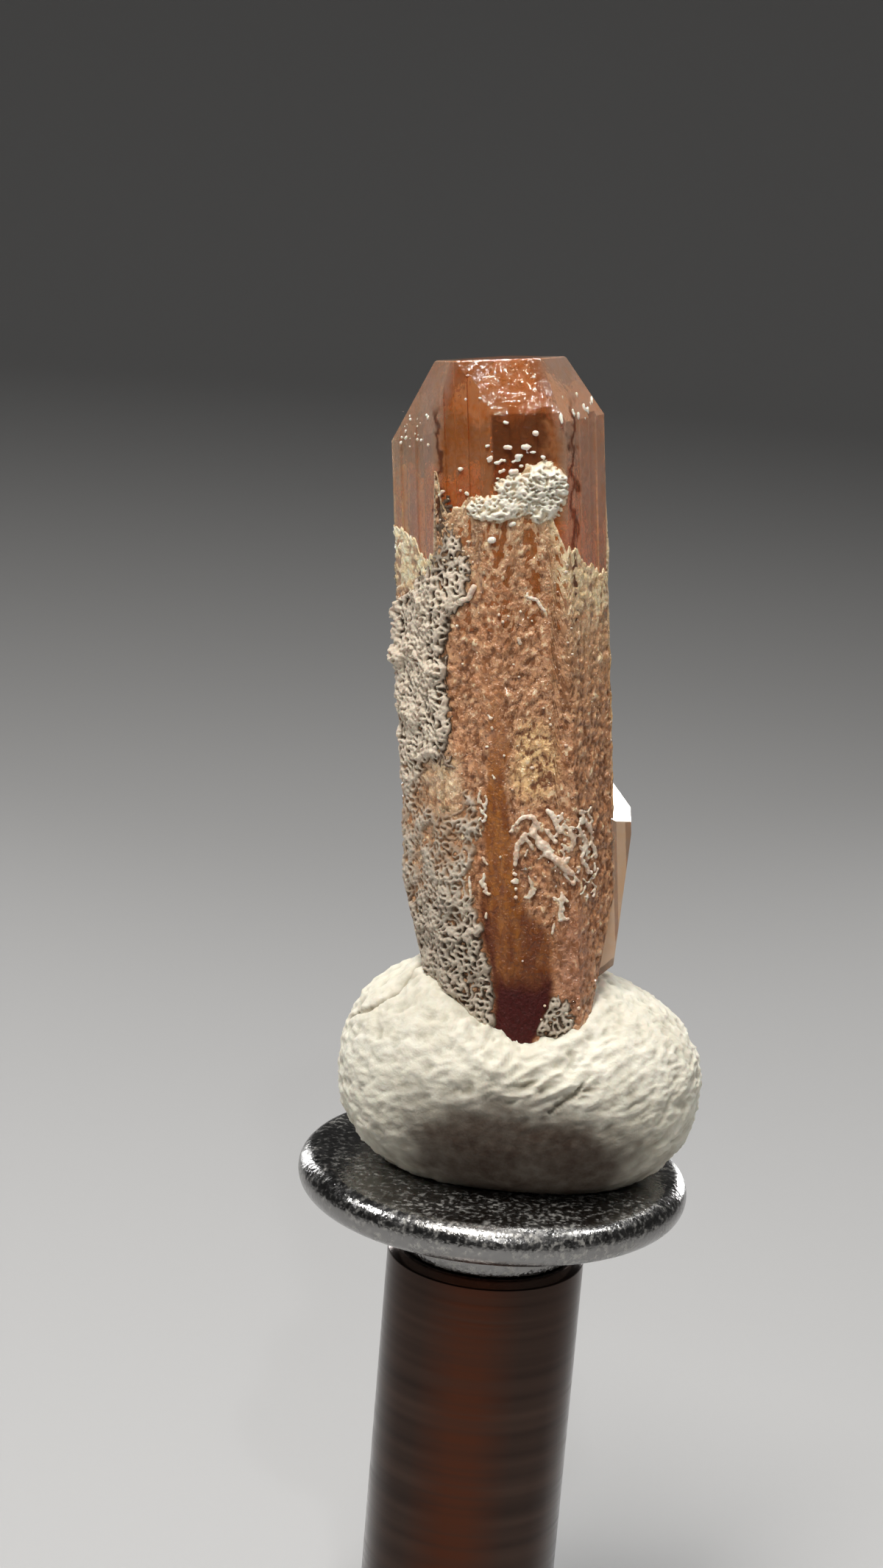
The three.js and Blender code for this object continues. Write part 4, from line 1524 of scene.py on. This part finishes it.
def turned_metal(name, light, dark, reflection_tint, roughness):
    """Metal with fine rings from the lathe, and a warmer band down its front and back, a painted reflection.
    """
    finish = Finish(name)
    rings = finish.place(stretch=RING_STRETCH)
    marks = finish.speckle(rings, 0.22, 5.0)
    broad = finish.speckle(rings, 1.1, 2.0)
    skin = finish.blend(finish.spread(broad, 0.35, 0.65), light, dark)
    across = finish.sides(finish.place())["X"]
    # Painted reflection: a warmer band down the front and back.
    off_band = finish.maths("ABSOLUTE", finish.maths("ADD", across, 0.3))
    ringed = finish.spread(marks, 0.3, 0.6, 0.5, 1.0)
    band = finish.maths("MULTIPLY", finish.spread(off_band, 2.2, 0.5), ringed)
    skin = finish.blend(band, skin, reflection_tint)
    finish.shade(Base_Color=skin, Metallic=1.0, Normal=finish.relief(marks, 0.006),
                 Roughness=finish.spread(marks, 0.3, 0.7, roughness, roughness + 0.15))
    return finish


pitted_metal().on(head)
turned_metal("rod_metal", ROD_LIGHT, ROD_DARK, ROD_REFLECTION, 0.1).on(rod)
turned_metal("foot_metal", FOOT_LIGHT, FOOT_DARK, FOOT_REFLECTION, 0.28).on(foot)

# %% [markdown]
# ## Stage
# The object stands in the middle of a plain pale dish of paper, a floor that curves up into a wall on every
# side. So there is no horizon behind it, and metal and glass mirror a soft change from pale to dark.

# %% Stage
STAGE_FLAT = 0.6
STAGE_BEND = 0.4
STAGE_WALL = 0.9
STAGE_STEPS = 96


def make_stage():
    """A pale round floor that curves up into a wall on every side."""
    curve = arc(STAGE_FLAT, STAGE_BEND, STAGE_BEND, -90, 0, 24)
    shape = spin_round([(0, 0), *curve, (STAGE_FLAT + STAGE_BEND, STAGE_WALL)], STAGE_STEPS, 1e-5)
    stage = make_object(shape, "stage")
    finish = Finish("stage_paper")
    finish.shade(Base_Color=grey(0.45), Roughness=0.9)
    finish.on(stage)


make_stage()

# %% [markdown]
# ## Light
# The key lamp is large and soft, and stands above the front like a lamp over a table. Its colour is slightly
# warm. A top lamp draws the upper edges, and two weak lamps high on the sides lift the flanks. A tiny one in
# front sets glints on the grains. Two lamps low behind the object draw thin bright lines along its long
# edges, and one stands just where the side crystal's facet mirrors it to the camera. Lamps with a narrow
# spread throw their light forwards only, so they need little power.

# %% Lamps
AIM = (0, 0, 0.042)
FACET_MIDDLE = (4.8, 0, 10.4)
FACET_LAMP_AWAY = 0.3
WARM_WHITE = (1, 0.97, 0.93)


def make_lamp(name, place, size, power, aim=AIM, tint=(1, 1, 1), spread=180):
    """A soft rectangular lamp that the camera doesn't see, not through the crystal either."""
    data = bpy.data.lights.new(name, "AREA")
    data.shape = "RECTANGLE"
    data.size, data.size_y = size
    data.energy = power
    data.color = tint
    data.spread = math.radians(spread)
    lamp = bpy.data.objects.new(name, data)
    lamp.location = place
    lamp.rotation_euler = (Vector(aim) - Vector(place)).to_track_quat("-Z", "Y").to_euler()
    lamp.visible_camera = False
    lamp.visible_transmission = False
    bpy.context.scene.collection.objects.link(lamp)


def mirrored_place(facing, point, distance):
    """Where a lamp has to stand, for a facet of the crystal to mirror it to the camera."""
    normal = (CRYSTAL_TURN.to_3x3() @ Vector(facing)).normalized()
    return point + (point - CAMERA_PLACE).normalized().reflect(normal) * distance


make_lamp("key_lamp", (-0.06, -0.13, 0.35), (0.10, 0.10), 1.1, tint=WARM_WHITE)
make_lamp("top_lamp", (0.01, 0.09, 0.34), (0.09, 0.06), 0.24)
make_lamp("left_lamp", (-0.245, 0, 0.27), (0.05, 0.05), 0.042, spread=70)
make_lamp("right_lamp", (0.19, 0, 0.32), (0.05, 0.05), 0.034, spread=70)
make_lamp("glint_lamp", (0.02, -0.20, 0.20), (0.008, 0.008), 0.07)
facet_middle = CRYSTAL_PLACE @ Vector(FACET_MIDDLE)
facet_lamp_place = mirrored_place(SIDE_FACETS[0][0], facet_middle, FACET_LAMP_AWAY)
make_lamp("facet_lamp", facet_lamp_place, (0.04, 0.04), 0.004, aim=facet_middle, spread=40)
make_lamp("left_edge_lamp", (-0.13, 0.20, 0.07), (0.03, 0.13), 0.018, spread=70)
make_lamp("right_edge_lamp", (0.108, 0.23, 0.035), (0.05, 0.07), 0.022, spread=70)

# %% [markdown]
# The rest of the room is dim and even, so the shadows aren't black.

# %% Room
ROOM_STRENGTH = 0.07


def make_world():
    """A dim, even room."""
    world = bpy.data.worlds.new("room")
    world.use_nodes = True
    background = world.node_tree.nodes["Background"]
    background.inputs["Color"].default_value = grey(1.0)
    background.inputs["Strength"].default_value = ROOM_STRENGTH
    bpy.context.scene.world = world


make_world()

# %% [markdown]
# ## Picture settings
# The denoiser clears the grain that glass and soft shadows leave at low sample counts. Light has to pass
# many faces on its way through the crystal, so it gets more bounces than usual.

# %% Picture settings
scene = bpy.context.scene
scene.cycles.use_denoising = True
scene.cycles.max_bounces = 16
scene.cycles.transmission_bounces = 16
scene.cycles.glossy_bounces = 6
scene.view_settings.view_transform = "Standard"
